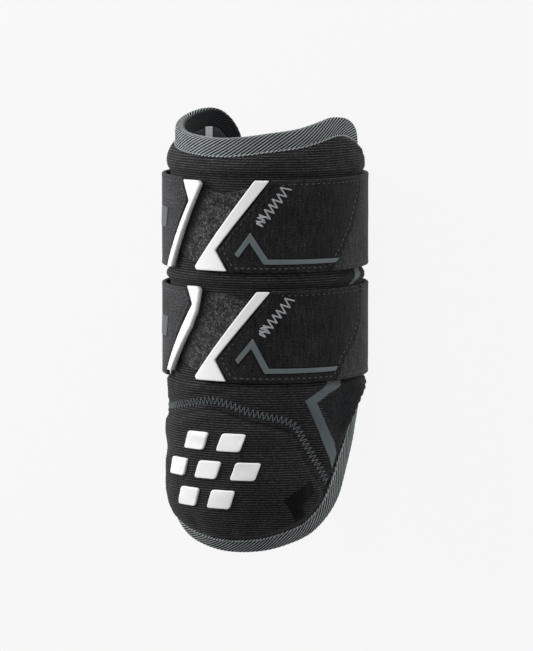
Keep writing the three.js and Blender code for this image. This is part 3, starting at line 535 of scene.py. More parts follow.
def body(x, v, d, cap, detail=True):
    """The outer face's height over the skin."""
    x, v, d = (np.asarray(a, float) for a in (x, v, d))
    ds = seam_side(x, v)
    press = dent(v)
    roll = side_roll(x, v)
    full = collar_roll(x, v)
    edge = edge_rise(d, v, roll, full)
    press = press * (1 - 0.75 * roll) * (1 - 0.8 * full)
    off = -np.sqrt(edge ** 2 + press ** 2 + 1e-9) + 2.6 * roll * smooth((d - 9.3) / 3.2)
    free = (1 - press / (DENT + 0.12))
    if cap:
        t = -ds
        rise = np.interp(t, [0, 0.7, 1.5, 3.2, 4.2, 4.7, 5.3, 6.2, 7.4, 9, 12, 30], [-1.15, -1.0, -0.85, -0.72, -0.85, -0.75, -0.25, 0.45, 0.85, 1.12, 1.3, 1.3])
        rise = np.where(rise > 0, rise * (1 - 0.85 * smooth((-46 - x / K) / 26)), rise)
        off = off + rise * np.where(d < 14, smooth((d - 8.0) / 6), 1)
    else:
        off = off + np.interp(ds, [0, 0.7, 1.5, 3.4, 4.3, 5.0, 6.5], [-1.15, -0.95, -0.72, -0.62, -0.5, -0.1, 0.0]) * smooth((d - 8.0) / 3)
    if detail:
        open_ = smooth((d - 9.6) / 3) * (0.25 + 0.75 * free)
        off = off + open_ * (0.26 * vnoise(x, v, 13, 3, 0.6) + 0.12 * vnoise(x, v, 5.5, 4, 0.5))
        off = off + puff_at(x, v) * smooth((d - 9.6) / 4) * free * smooth((np.abs(ds) - 1.0) / 4)
        if detail != "plain":
            off = off + 0.08 * np.cos(2 * np.pi * v / RIB) * smooth((d - 9.3) / 1.2) * smooth((np.abs(ds) - 0.2) / 1.2)
    return off


def surface(x, v, lift=0.0, detail=False):
    """Place on the pad's or cap's outer face."""
    x, v = np.asarray(x, float), np.asarray(v, float)
    d = edge_dist(x, v).reshape(x.shape)
    ds = seam_side(x, v)
    off = np.where(ds < 0, body(x, v, d, True, detail), body(x, v, d, False, detail))
    return place(x, v, off + lift)


def simulate_puff():
    """Cloth over the padding: pinned at the edge tape, the seam and under the straps, and blown up a little."""
    step = 3.6
    xs, vs = np.arange(-126, 114, step), np.arange(-120, 113, step)
    X, V = np.meshgrid(xs, vs, indexing="ij")
    d = edge_dist(X, V).reshape(X.shape)
    ds = seam_side(X, V)
    off = np.where(ds < 0, body(X, V, d, True, False), body(X, V, d, False, False))
    P = place(X, V, off)
    n, m = X.shape
    idx = np.arange(n * m).reshape(n, m)
    keep = d > 5
    quads = [(idx[i, j], idx[i + 1, j], idx[i + 1, j + 1], idx[i, j + 1]) for i in range(n - 1) for j in range(m - 1)
             if keep[i, j] and keep[i + 1, j] and keep[i + 1, j + 1] and keep[i, j + 1]]
    me = bpy.data.meshes.new("puff_trial")
    me.from_pydata((P.reshape(-1, 3) * MM).tolist(), [], [tuple(int(k) for k in q) for q in quads])
    o = bpy.data.objects.new("puff_trial", me)
    bpy.context.scene.collection.objects.link(o)
    pin = o.vertex_groups.new(name="pin")
    held = (d < 10.5) | (np.abs(ds) < 2.2) | (dent(V) > 0.5)
    pin.add([int(k) for k in idx[held]], 1.0, "REPLACE")
    mod = o.modifiers.new("cloth", "CLOTH")
    s = mod.settings
    s.quality = 5
    s.mass = 0.25
    s.vertex_group_mass = "pin"
    s.use_pressure = True
    s.uniform_pressure_force = 4.0
    s.shrink_min = -0.05
    s.tension_stiffness = s.compression_stiffness = 12
    s.bending_stiffness = 0.6
    s.effector_weights.gravity = 0.0
    mod.point_cache.frame_start, mod.point_cache.frame_end = 1, 20
    scene = bpy.context.scene
    for f in range(1, 21):
        scene.frame_set(f)
    ev = o.evaluated_get(bpy.context.evaluated_depsgraph_get())
    em = ev.to_mesh()
    q = np.zeros(n * m * 3, np.float32)
    em.vertices.foreach_get("co", q)
    ev.to_mesh_clear()
    q = q.reshape(n, m, 3).astype(float) / MM
    out = P - place(X, V, off - 1.0)  # unit outwards
    rise = ((q - P) * out).sum(-1)
    rise[~keep] = 0
    rise = np.clip(np.nan_to_num(rise) * 0.45, -0.5, 0.75)
    bpy.data.objects.remove(o, do_unlink=True)
    bpy.data.meshes.remove(me)
    scene.frame_set(1)
    print("puff: largest", round(float(rise.max()), 2), "least", round(float(rise.min()), 2), "mean", round(float(rise[keep].mean()), 3))
    return (xs[0], vs[0], step, rise)


PUFF = simulate_puff()

DV = RIB / 4
DX = 2.4
COLX = np.arange(-124.8, 114, DX)
KLO, KHI = int(math.floor(-119 / DV / 4)) * 4, int(math.ceil(112 / DV / 4)) * 4
ROWV = {k: k * DV for k in range(KLO, KHI + 1)}
gx, gk = np.meshgrid(COLX, np.arange(KLO, KHI + 1), indexing="ij")
GD = edge_dist(gx, gk * DV).reshape(gx.shape)


def zone_of(x, v):
    """Where the fabric is an open speckled mesh: beside the collar, in the gap between the straps and behind the side mark."""
    z = np.zeros(len(x))
    a = x / K
    z = np.maximum(z, smooth((a - np.interp(v, [79, 92], [72, 118])) / 1.2) * smooth((v - 74) / 3))
    z = np.maximum(z, smooth((a - np.interp(v, [22, 33], [64, 78])) / 1.2) * smooth((33.5 - v) / 1.0) * smooth((v - 22) / 1.0))
    lim = np.interp(v, [-62, -52, -35, -24], [66.5, 70.5, 58.5, 77.5])
    z = np.maximum(z, smooth((a - lim) / 1.2) * smooth((-22 - v) / 1.5) * smooth((v + 66) / 3))
    return z


def painted_shading_of(x, v, cap):
    """Painted light and shade on the fabric's colour: the open mesh by the collar is lighter with painted light, the
    crease under the cap's seam darker with painted shade.
    """
    s = 1 + 1.5 * smooth((x / K - np.interp(v, [79, 92], [86, 112])) / 2.5) * smooth((v - 79) / 2)
    if cap:
        # painted shade in the crease under the cap's seam
        s = s * (1 - 0.6 * np.exp(-((-seam_side(x, v) - 4.5) / 0.75) ** 2))
    return s


def build_wall(cap):
    ncol = len(COLX)
    sv = seam_at(COLX)
    # the rows each strip between two columns spans, in whole ribs
    spans = []
    for i in range(ncol - 1):
        ok = np.minimum(GD[i], GD[i + 1]) > 2.6
        rows = [k for k in range(KLO, KHI - 3, 4) if ok[k - KLO:k - KLO + 5].all()]
        spans.append((rows[0], rows[-1] + 4) if rows else None)
    cross = [s is not None and min(sv[i], sv[i + 1]) > ROWV[s[0]] + 0.6 for i, s in enumerate(spans)]
    has_s = [(c < ncol - 1 and cross[c]) or (c > 0 and cross[c - 1]) for c in range(ncol)]
    gap = -0.05 if cap else 0.05
    keys, pos = {}, []

    def vid(c, k):
        if (c, k) not in keys:
            keys[(c, k)] = len(pos)
            pos.append((COLX[c], sv[c] + gap if k == "s" else ROWV[k]))
        return keys[(c, k)]

    def chain(c, lo, hi, step):
        got = [(ROWV[k], k) for k in range(KLO, KHI + 1, step)
               if lo - 1e-6 <= ROWV[k] <= hi + 1e-6 and not (has_s[c] and abs(ROWV[k] - sv[c]) < 0.35 * DV)]
        if has_s[c] and lo - 1e-6 <= sv[c] <= hi + 1e-6:
            got.append((sv[c], "s"))
        got.sort(key=lambda g: g[0])
        return got

    def sheet(step):
        tris = []
        for i in range(ncol - 1):
            if spans[i] is None or (cap and not cross[i]):
                continue
            lo, hi = ROWV[spans[i][0]], ROWV[spans[i][1]]
            lims = []
            for c in (i, i + 1):
                a, b = lo, hi
                if cross[i]:
                    if cap:
                        b = sv[c]
                    else:
                        a = sv[c]
                lims.append(chain(c, a, b, step))
            L, R = lims
            p = q = 0
            while p < len(L) - 1 or q < len(R) - 1:
                if q == len(R) - 1 or (p < len(L) - 1 and L[p + 1][0] <= R[q + 1][0]):
                    tris.append((vid(i, L[p][1]), vid(i + 1, R[q][1]), vid(i, L[p + 1][1])))
                    p += 1
                else:
                    tris.append((vid(i, L[p][1]), vid(i + 1, R[q][1]), vid(i + 1, R[q + 1][1])))
                    q += 1
        return tris

    outer = sheet(1)
    inner = sheet(4)
    n = len(pos)
    xy = np.array(pos)
    d = edge_dist(xy[:, 0], xy[:, 1])
    off = body(xy[:, 0], xy[:, 1], d, cap)
    off = np.where(d < 9.4, -(recess(xy[:, 1]) + BINDING_T + 0.3), off)
    top = place(xy[:, 0], xy[:, 1], off)
    bottom = place(xy[:, 0], xy[:, 1], PAD_BACK)
    # walls along every border edge of the inner sheet
    edges = {}
    for t in inner:
        for a, b in ((t[0], t[1]), (t[1], t[2]), (t[2], t[0])):
            if (b, a) in edges:
                del edges[(b, a)]
            else:
                edges[(a, b)] = 1
    name = {i: k for k, i in keys.items()}
    column = {}
    for (c, k), i in keys.items():
        column.setdefault(c, []).append((xy[i, 1], i))
    for c in column:
        column[c].sort()
    faces = [tuple(t) for t in outer] + [(n + a, n + c, n + b) for a, b, c in inner]
    for a, b in edges:
        if name[a][0] == name[b][0]:
            va, vb = xy[a, 1], xy[b, 1]
            mid = [i for v, i in column[name[a][0]] if min(va, vb) + 1e-6 < v < max(va, vb) - 1e-6]
            if va > vb:
                mid.reverse()
            faces.append((b, *reversed(mid), a, n + a, n + b) if mid else (b, a, n + a, n + b))
        else:
            faces.append((b, a, n + a, n + b))
    verts = np.vstack([top, bottom])
    chart = np.vstack([np.column_stack([xy, off]), np.column_stack([xy, np.full(n, PAD_BACK)])])
    used = np.unique(np.concatenate([np.array(f) for f in faces]))
    remap = np.full(len(verts), -1)
    remap[used] = np.arange(len(used))
    faces = [tuple(remap[list(f)]) for f in faces]
    zone = zone_of(chart[:, 0], chart[:, 1])
    # painted light and shade for the fabric's colour, kept as the shade attribute
    shade = painted_shading_of(chart[:, 0], chart[:, 1], cap)
    return verts[used], faces, chart[used], {"zone": zone[used], "shade": shade[used]}


for cap, name in ((False, "main_pad_knit"), (True, "elbow_cap_knit")):
    v, f, c, z = build_wall(cap)
    o = make(name, v, f, PAD, ["elbow_cap" if cap else "main_pad"], c, extra=z)
    print(name, len(v), "points", sum(len(x) - 2 for x in f), "triangles")


# ---- thin plates on a surface ---------------------------------------------------------------------
def resample(poly, step, closed=True):
    p = np.asarray(poly, float)
    q = np.roll(p, -1, 0) if closed else p[1:]
    out = []
    for a, b in zip(p, q):
        k = max(1, int(math.ceil(np.hypot(*(b - a)) / step)))
        out += [a + (b - a) * t / k for t in range(k)]
    if not closed:
        out.append(p[-1])
    return np.array(out)


def round_corners(poly, r):
    """Cuts each corner of a chart polygon with a small arc."""
    p = np.asarray(poly, float)
    out = []
    for i in range(len(p)):
        a, b, c = p[i - 1], p[i], p[(i + 1) % len(p)]
        u, w = a - b, c - b
        lu, lw = np.hypot(*u), np.hypot(*w)
        k = min(r, lu * 0.4, lw * 0.4)
        s, e = b + u / lu * k, b + w / lw * k
        cosine = float(np.dot(u, w) / lu / lw)
        if cosine < -0.985:
            out.append(b)
            continue
        for t in (0, 0.25, 0.5, 0.75, 1):
            out.append((1 - t) ** 2 * s + 2 * t * (1 - t) * b + t * t * e)
    return np.array(out)


def plate(name, poly_mm, where, lo, hi, bevel, material, replaces, step=1.5, rim=0.5, profile=None, lower=None):
    """A plate over a chart polygon. where(x, v, off) gives a point in mm; profile(d, x, v) adds to the top."""
    rim_pts = resample(poly_mm, rim)
    area = 0.5 * np.sum(rim_pts[:, 0] * np.roll(rim_pts[:, 1], -1) - rim_pts[:, 1] * np.roll(rim_pts[:, 0], -1))
    if area < 0:
        rim_pts = rim_pts[::-1]
    n = len(rim_pts)
    t = np.roll(rim_pts, -1, 0) - np.roll(rim_pts, 1, 0)
    t /= np.maximum(1e-9, np.hypot(t[:, 0], t[:, 1]))[:, None]
    nrm = np.stack([-t[:, 1], t[:, 0]], 1)
    cand = []
    radii = [bevel * 0.12, bevel * 0.4, bevel * 0.8, bevel * 1.3, bevel * 2.0] + ([2.0, 2.5, 3.0] if profile is not None else [])
    for r in radii:
        q = rim_pts + nrm * r
        q = q[::2] if r > bevel else q
        dist = poly_dist(q[:, 0], q[:, 1], rim_pts)
        ok = inside(q[:, 0], q[:, 1], rim_pts) & (dist > r * 0.93)
        cand.append(q[ok])
    lo_c, hi_c = rim_pts.min(0), rim_pts.max(0)
    gx_, gy_ = np.meshgrid(np.arange(lo_c[0] + step * 0.37, hi_c[0], step), np.arange(lo_c[1] + step * 0.41, hi_c[1], step))
    g = np.stack([gx_.ravel(), gy_.ravel()], 1)
    dist = poly_dist(g[:, 0], g[:, 1], rim_pts)
    cand.append(g[inside(g[:, 0], g[:, 1], rim_pts) & (dist > max(bevel * 2.0, 0.5) + 0.3 * step)])
    pts = np.vstack([rim_pts] + cand)
    vs = [Vector((float(a), float(b))) for a, b in pts]
    loop = list(range(n))
    coords, _, tris, orig, _, _ = geometry.delaunay_2d_cdt(vs, [], [loop], 1, 1e-5)
    xy = np.array([[c.x, c.y] for c in coords])
    d = poly_dist(xy[:, 0], xy[:, 1], rim_pts)
    k = np.clip(d / bevel, 0, 1)
    b = min(bevel, (hi - lo) * 0.8)
    top = hi - b * (1 - np.sqrt(np.clip(1 - (1 - k) ** 2, 0, 1)))
    if profile is not None:
        top = top + profile(d, xy[:, 0], xy[:, 1])
    T, B = where(xy[:, 0], xy[:, 1], top), where(xy[:, 0], xy[:, 1], np.full(len(xy), lo) if lower is None else lower(xy[:, 0], xy[:, 1]))
    m = len(xy)
    faces, edges = [], {}
    for tri in tris:
        a = np.array([xy[q] for q in tri])
        if len(tri) == 3 and (a[1, 0] - a[0, 0]) * (a[2, 1] - a[0, 1]) - (a[1, 1] - a[0, 1]) * (a[2, 0] - a[0, 0]) < 0:
            tri = tri[::-1]
        faces.append(tuple(tri))
        for p, q in zip(tri, list(tri[1:]) + [tri[0]]):
            if (q, p) in edges:
                del edges[(q, p)]
            else:
                edges[(p, q)] = 1
    back = [tuple(m + q for q in reversed(f)) for f in faces]
    wall = [(q, p, m + p, m + q) for p, q in edges]
    chart = np.vstack([np.column_stack([xy, top]), np.column_stack([xy, np.full(m, lo)])])
    return make(name, np.vstack([T, B]), faces + back + wall, material, replaces, chart)


def strap_place(x, v, off):
    """Chart over the strap: x is mm at the skin's radius seen from the arm axis."""
    x, v, off = np.broadcast_arrays(np.asarray(x, float), np.asarray(v, float), np.asarray(off, float))
    a = x / SKIN_R
    R = STRAP_R + off
    c = STRAP_CX
    t = c * np.sin(a) + np.sqrt(R * R - c * c * np.cos(a) ** 2)
    return np.stack([t * np.sin(a) + SHIFT_X, np.asarray(v, float) - SHIFT_Y, t * np.cos(a) + AXIS_Z], -1)


def mm(poly):
    return [(a * K, v) for a, v in poly]


def hem(d, x, v):
    """A turned hem: full at the edge, a stitched groove inside it, then flat."""
    return -0.34 * np.exp(-((d - 2.3) / 0.5) ** 2) - 0.24 * smooth((d - 2.6) / 0.8) + 0.05 * vnoise(x, v, 9, 12)


for s, (low, high) in STRAPS.items():
    f = FRONT[s]
    face = [(a, min(max(v, low + 0.75), high - 0.75)) for a, v in f["panel"]]
    plate("panel_" + s + "_cloth", mm(face), strap_place, 0.0, 2.2, 0.6, WEB, ["panel_" + s], 1.5, 0.6, hem)
    # the strap's own edge, which shows above and below the panel's
    plate("panel_" + s + "_edging", mm(f["panel"]), strap_place, 0.1, 1.25, 0.4, ELASTIC, [], 3.0, 0.6)
    for side in ("right", "left"):
        # clear of the panel and the tab by a hair
        plate("trim_" + s + "_" + side + "_rubber", round_corners(mm(f[side]), 0.7), strap_place, 0.0, 2.62, 0.5, WHITE,
              ["trim_" + s + "_" + side], 2.0, 0.45,
              lambda d, x, v: -0.0 * d)
    plate("accent_" + s + "_film", mm(f["accent"]), strap_place, 2.12, 2.42, 0.18, GREY, ["accent_" + s], 1.6, 0.5)
    drop = STRAPS["upper"][0] - low
    b0, b1, l, r = TAB_MARK
    p = [(l, b0 - drop), (r, b0 - drop), (r + 3, b1 - drop), (l + 3, b1 - drop)]
    plate("tab_mark_%s_film" % s, round_corners(mm(p), 1.2), strap_place, 2.12, 2.46, 0.16, TABGREY, ["tab_mark_" + s], 1.6, 0.5)
    plate("loop_patch_" + s + "_pile", round_corners(mm(PATCH[s]), 1.0), lambda x, v, off: place(x, v, off), -1.3, -0.62, 0.3, LOOP[s],
          ["loop_patch_" + s], 1.0, 0.8, lambda d, x, v: 0.14 * vnoise(x, v, 2.1, 21) + 0.1 * vnoise(x, v, 7, 22))


def on_pad(x, v, off):
    return surface(x, v, off, "plain")


def outset(poly, d):
    """The polygon grown by d, with mitred corners."""
    p = np.asarray(poly, float)
    area2 = np.sum(p[:, 0] * np.roll(p[:, 1], -1) - p[:, 1] * np.roll(p[:, 0], -1))
    if area2 < 0:
        p = p[::-1]
    out = []
    for i in range(len(p)):
        a, b, c = p[i - 1], p[i], p[(i + 1) % len(p)]
        u, w = (b - a) / np.hypot(*(b - a)), (c - b) / np.hypot(*(c - b))
        n1, n2 = np.array([u[1], -u[0]]), np.array([w[1], -w[0]])
        m = n1 + n2
        out.append(b + m * d / max(0.5, 0.5 * float(m @ m)))
    return out


for s in STRAPS:
    # a black film ring just round each accent: painted shade of a groove round it
    plate("accent_" + s + "_groove_painted_shade", outset(mm(FRONT[s]["accent"]), 0.55), strap_place, 2.0, 2.14, 0.06, FILM, [], 1.6, 0.6)


plate("side_chevron_film", mm(SIDE_CHEVRON), on_pad, -0.1, 0.32, 0.16, SIDEGREY, ["side_chevron"], 1.3, 0.5)
plate("side_stripe_film", mm(SIDE_STRIPE), on_pad, -0.1, 0.32, 0.16, SIDEGREY, ["side_stripe"], 1.3, 0.5)
plate("cap_band_film", mm(CAP_BAND), on_pad, -0.2, 0.24, 0.16, FILM, ["cap_band"], 1.3, 0.5)
for i, (b0, b1, l, r) in enumerate(CAP_STUDS):
    p = [(l, b0), (r, b0), (r + STUD_SLANT, b1), (l + STUD_SLANT, b1)]
    plate("cap_stud_%d_rubber" % (i + 1), round_corners(mm(p), 1.6), on_pad, -0.1, 1.35, 0.55, WHITE, ["cap_stud_%d" % (i + 1)], 1.4, 0.4)
b0, b1, l, r = INNER_TAB
plate("inner_tab_tape", round_corners(mm([(l, b0), (r, b0), (r, b1), (l, b1)]), 0.5), place, -9.3, -9.75, 0.12, WTAPE, ["inner_tab"], 1.5, 0.6)


# ---- elastic round the back --------------------------------------------------------------------
def strap_path(off, n=400):
    """Half of the strap's section from the front to the middle of the back, on its mid face: the radius, the corner's
    radius, the turn and the three lengths.
    """
    R, c, z = STRAP_R + 1.1, STRAP_CORNER + 1.1, -STRAP_FLAT + 1.1
    turn = math.acos(-(z - c) / (R - c))
    lengths = [R * turn, c * (math.pi - turn), (R - c) * math.sin(turn)]
    return R, c, turn, lengths


SR, SC, TURN, LENS = strap_path(0)
HALF = sum(LENS)


def strap_around(s, v, off):
    """Place at length s (mm, signed, from the front) round the strap's closed path."""
    s = np.asarray(s, float)
    s = (s + HALF) % (2 * HALF) - HALF
    sign, a = np.sign(s), np.abs(s)
    off = np.asarray(off, float) - 1.1
    al = a / SR
    x1, z1 = (SR + off) * np.sin(al), (SR + off) * np.cos(al)
    cx, cz = (SR - SC) * math.sin(TURN), (SR - SC) * math.cos(TURN)
    be = TURN + (a - LENS[0]) / SC
    x2, z2 = cx + (SC + off) * np.sin(be), cz + (SC + off) * np.cos(be)
    x3, z3 = cx - (a - LENS[0] - LENS[1]), cz - (SC + off) + 0 * a
    first, second = a <= LENS[0], a <= LENS[0] + LENS[1]
    x = np.where(first, x1, np.where(second, x2, x3)) * np.where(sign == 0, 1, sign)
    z = np.where(first, z1, np.where(second, z2, z3))
    return np.stack([x + STRAP_CX + SHIFT_X, np.asarray(v, float) - SHIFT_Y + 0 * s, z + AXIS_Z], -1)


def strap_s(angle):
    """Path length for an angle seen from the arm axis, on the strap's middle."""
    p = strap_place(np.asarray(angle, float) * K, 0.0, 1.1)
    return SR * np.arctan2(p[..., 0] - STRAP_CX - SHIFT_X, p[..., 2] - AXIS_Z)


def elastic(s, low, high):
    edge, tab = FRONT[s]["edge"], FRONT[s]["tab"]
    rows = np.r_[0, 0.12, 0.35, 0.7, 1.2, 1.8, 2.3, 2.8]
    inner_rows = np.linspace(3.6, high - low - 3.6, 28)
    vv = np.r_[rows, inner_rows, (high - low) - rows[::-1]] + low
    d = np.minimum(vv - low, high - vv)
    k = np.clip(d / 0.75, 0, 1)
    round_ = 0.75 * (1 - np.sqrt(np.clip(1 - (1 - k) ** 2, 0, 1)))
    groove = -0.2 * np.exp(-((d - 2.3) / 0.45) ** 2) - 0.12 * smooth((d - 2.6) / 0.8)
    ev, ea = np.array([p[1] for p in edge], float), np.array([p[0] for p in edge], float)
    tv, ta = np.array([p[1] for p in tab][::-1], float), np.array([p[0] for p in tab][::-1], float)
    s0 = strap_s(np.interp(vv, ev, ea)) + 0.25
    s1 = 2 * HALF + strap_s(np.interp(vv, tv, ta)) - 0.2
    n = 170
    t = np.linspace(0, 1, n)
    t = np.r_[0, 0.0006, 0.002, 0.004, t[2:-2], 0.996, 0.998, 0.9994, 1]
    m = len(t)
    S = s0[:, None] + (s1 - s0)[:, None] * t[None]
    V = np.broadcast_to(vv[:, None], S.shape)
    endd = np.minimum(S - s0[:, None], s1[:, None] - S)
    ek = np.clip(endd / 0.6, 0, 1)
    end_round = 0.6 * (1 - np.sqrt(np.clip(1 - (1 - ek) ** 2, 0, 1)))
    left = s1[:, None] - S
    tabhem = -0.2 * np.exp(-((left - 2.6) / 0.45) ** 2)
    wob = 0.07 * vnoise(S, V, 8, 31 if s == "upper" else 32)
    top = 2.2 - np.maximum(round_[:, None], end_round) + groove[:, None] + tabhem + wob * (np.minimum(d[:, None], 3) / 3)
    # it stands on its flat back: nothing below the floor
    back = (np.abs((S + HALF) % (2 * HALF) - HALF) > LENS[0])
    top = np.where(back, np.minimum(top, 2.2), top)
    bot = 0.0 + np.maximum(round_[:, None], end_round) * 0.8
    T, B = strap_around(S, V, top).reshape(-1, 3), strap_around(S, V, bot).reshape(-1, 3)
    r = len(vv)
    idx = np.arange(r * m).reshape(r, m)
    faces = []
    N = r * m
    for j in range(r - 1):
        for i in range(m - 1):
            a, b, c, e = idx[j, i], idx[j, i + 1], idx[j + 1, i + 1], idx[j + 1, i]
            faces.append((a, b, c, e))
            faces.append((N + a, N + e, N + c, N + b))
    for i in range(m - 1):
        faces.append((idx[0, i + 1], idx[0, i], N + idx[0, i], N + idx[0, i + 1]))
        faces.append((idx[r - 1, i], idx[r - 1, i + 1], N + idx[r - 1, i + 1], N + idx[r - 1, i]))
    for j in range(r - 1):
        faces.append((idx[j, 0], idx[j + 1, 0], N + idx[j + 1, 0], N + idx[j, 0]))
        faces.append((idx[j + 1, m - 1], idx[j, m - 1], N + idx[j, m - 1], N + idx[j + 1, m - 1]))
    chart = np.column_stack([np.r_[S.ravel(), S.ravel()], np.r_[V.ravel(), V.ravel()], np.r_[top.ravel(), bot.ravel()]])
    make("strap_" + s + "_elastic", np.vstack([T, B]), faces, ELASTIC, ["strap_" + s], chart)


for s, (low, high) in STRAPS.items():
    elastic(s, low, high)

# ---- lining -----------------------------------------------------------------------------------------
xs, vs = np.arange(-123, 112, 3.0), np.arange(-117, 110, 3.0)
LX, LV = np.meshgrid(xs, vs, indexing="ij")
LD = edge_dist(LX, LV).reshape(LX.shape)
ring_n = 480
ring_pts, ring_nrm, _ = edge_frame(ring_n)
ring = ring_pts + ring_nrm * 9.6
g = np.stack([LX.ravel(), LV.ravel()], 1)[LD.ravel() > 11.0]
vsd = [Vector((float(a), float(b))) for a, b in np.vstack([ring, g])]
coords, _, tris, _, _, _ = geometry.delaunay_2d_cdt(vsd, [], [list(range(ring_n))], 1, 1e-5)
xy = np.array([[c.x, c.y] for c in coords])
m = len(xy)
quilt = 0.12 * vnoise(xy[:, 0], xy[:, 1], 11, 41) * smooth((edge_dist(xy[:, 0], xy[:, 1]) - 9.6) / 3)
outer_, inner_ = place(xy[:, 0], xy[:, 1], -8.02), place(xy[:, 0], xy[:, 1], -8.86 + quilt)
faces, edges = [], {}
for tri in tris:
    a = np.array([xy[q] for q in tri])
    if (a[1, 0] - a[0, 0]) * (a[2, 1] - a[0, 1]) - (a[1, 1] - a[0, 1]) * (a[2, 0] - a[0, 0]) < 0:
        tri = tri[::-1]
    faces.append(tuple(tri))
    for p, q in zip(tri, list(tri[1:]) + [tri[0]]):
        if (q, p) in edges:
            del edges[(q, p)]
        else:
            edges[(p, q)] = 1
area = sum(np.linalg.norm(np.cross(outer_[f[1]] - outer_[f[0]], outer_[f[2]] - outer_[f[0]])) / 2 for f in faces) * 1e-6
faces = faces + [tuple(m + q for q in reversed(f)) for f in faces] + [(q, p, m + p, m + q) for p, q in edges]
chart = np.vstack([np.column_stack([xy, np.full(m, -8.02)]), np.column_stack([xy, np.full(m, -8.9)])])
lining = make("lining_mesh_cloth", np.vstack([outer_, inner_]), faces, LINING, ["lining"], chart)

# ---- edge binding -------------------------------------------------------------------------------------
NS = int(round(catmull([(a * K, v) for a, v in OUTLINE], 1500, True)[1] / (PITCH / (4 * math.sin(BETA))) / 4)) * 4


def binding():
    pts, nrm, length = edge_frame(NS)
    ds = PITCH / (4 * math.sin(BETA))
    dw = PITCH / (4 * math.cos(BETA))
    R = recess(pts[:, 1])
    cols = []  # (d, off, w, rib amount) for each station of the section

    def put(d, off, w, rib, nd=0.0, no=1.0):
        cols.append((np.broadcast_to(d, R.shape), np.broadcast_to(off, R.shape), np.broadcast_to(w, R.shape), rib,
                     np.broadcast_to(nd, R.shape), np.broadcast_to(no, R.shape)))

    legs = int(round((BINDING_W - 1.3) / dw))
    for i in range(legs + 1):
        d = BINDING_W - i * (BINDING_W - 1.3) / legs
        crown = 0.22 * math.sin(math.pi * min(1, (BINDING_W - d) / 8.0)) - (0.35 * max(0, 1 - (BINDING_W - d) / 0.8) ** 2)
        put(d, -R + crown, i * dw, 1.0 if i > 1 else 0.4)
    w0 = legs * dw
    tall = 9.0 - R - 2.6
    for a in (22.5, 45, 67.5, 90):
        t = math.radians(a)
        put(1.3 - 1.3 * math.sin(t), -R - 1.3 + 1.3 * math.cos(t), w0 + 1.3 * t, 1.0, -math.sin(t), math.cos(t))
    w1 = w0 + 1.3 * math.pi / 2
    for k in range(1, 9):
        put(0.0, -R - 1.3 - tall * k / 9, w1 + tall * k / 9, 1.0, -1.0, 0.0)
    for a in (0, 22.5, 45, 67.5, 90):
        t = math.radians(a)
        put(1.3 - 1.3 * math.cos(t), -9.0 + 1.3 - 1.3 * math.sin(t), w1 + tall + 1.3 * t, 1.0, -math.cos(t), -math.sin(t))
    w2 = w1 + tall + 1.3 * math.pi / 2
    for k in range(1, 13):
        f = k / 12
        put(1.3 + (BINDING_W - 1.3) * f, -9.0 + 0.0 * R, w2 + 8.0 * f, 0.6, 0.0, -1.0)
    put(BINDING_W, -8.05 + 0 * R, w2 + 9.0, 0)
    put(1.4, -8.05 + 0 * R, w2 + 12, 0)
    put(1.4, -R - 1.0, -12.0, 0)
    put(BINDING_W, -R - 1.0, -1.0, 0)
    m = len(cols)
    st = np.arange(NS)
    V = np.zeros((NS, m, 3))
    W = np.zeros((NS, m))
    for j, (d, off, w, rib, nd, no) in enumerate(cols):
        ph = st * (math.pi / 2) + w * (2 * math.pi * math.cos(BETA) / PITCH)
        lift = 0.19 * np.cos(ph) * rib
        base = pts + nrm * (d + nd * lift)[:, None]
        V[:, j] = place(base[:, 0], base[:, 1], off + no * lift)
        W[:, j] = w
    idx = np.arange(NS * m).reshape(NS, m)
    nxt = np.roll(idx, -1, 0)
    faces, corner = [], []
    X = st * ds
    for j in range(m):
        k = (j + 1) % m
        a, b, c, e = idx[:, j], idx[:, k], nxt[:, k], nxt[:, j]
        faces.append(np.stack([a, b, c, e], 1))
        xa, xn = X, X + ds
        wj, wk = W[:, j], W[:, k]
        wjn, wkn = np.roll(wj, -1), np.roll(wk, -1)
        z = np.zeros(NS)
        corner.append(np.stack([np.stack([xa, wj, z], 1), np.stack([xa, wk, z], 1), np.stack([xn, wkn, z], 1), np.stack([xn, wjn, z], 1)], 1))
    faces = np.concatenate(faces)
    corner = np.concatenate(corner).reshape(-1, 3)
    o = make("rim_binding_tape", V.reshape(-1, 3), faces.tolist(), TAPE, ["rim_binding"], corner_chart=corner)
    print("binding", NS, "stations", len(faces) * 2, "triangles")
    return o


binding()


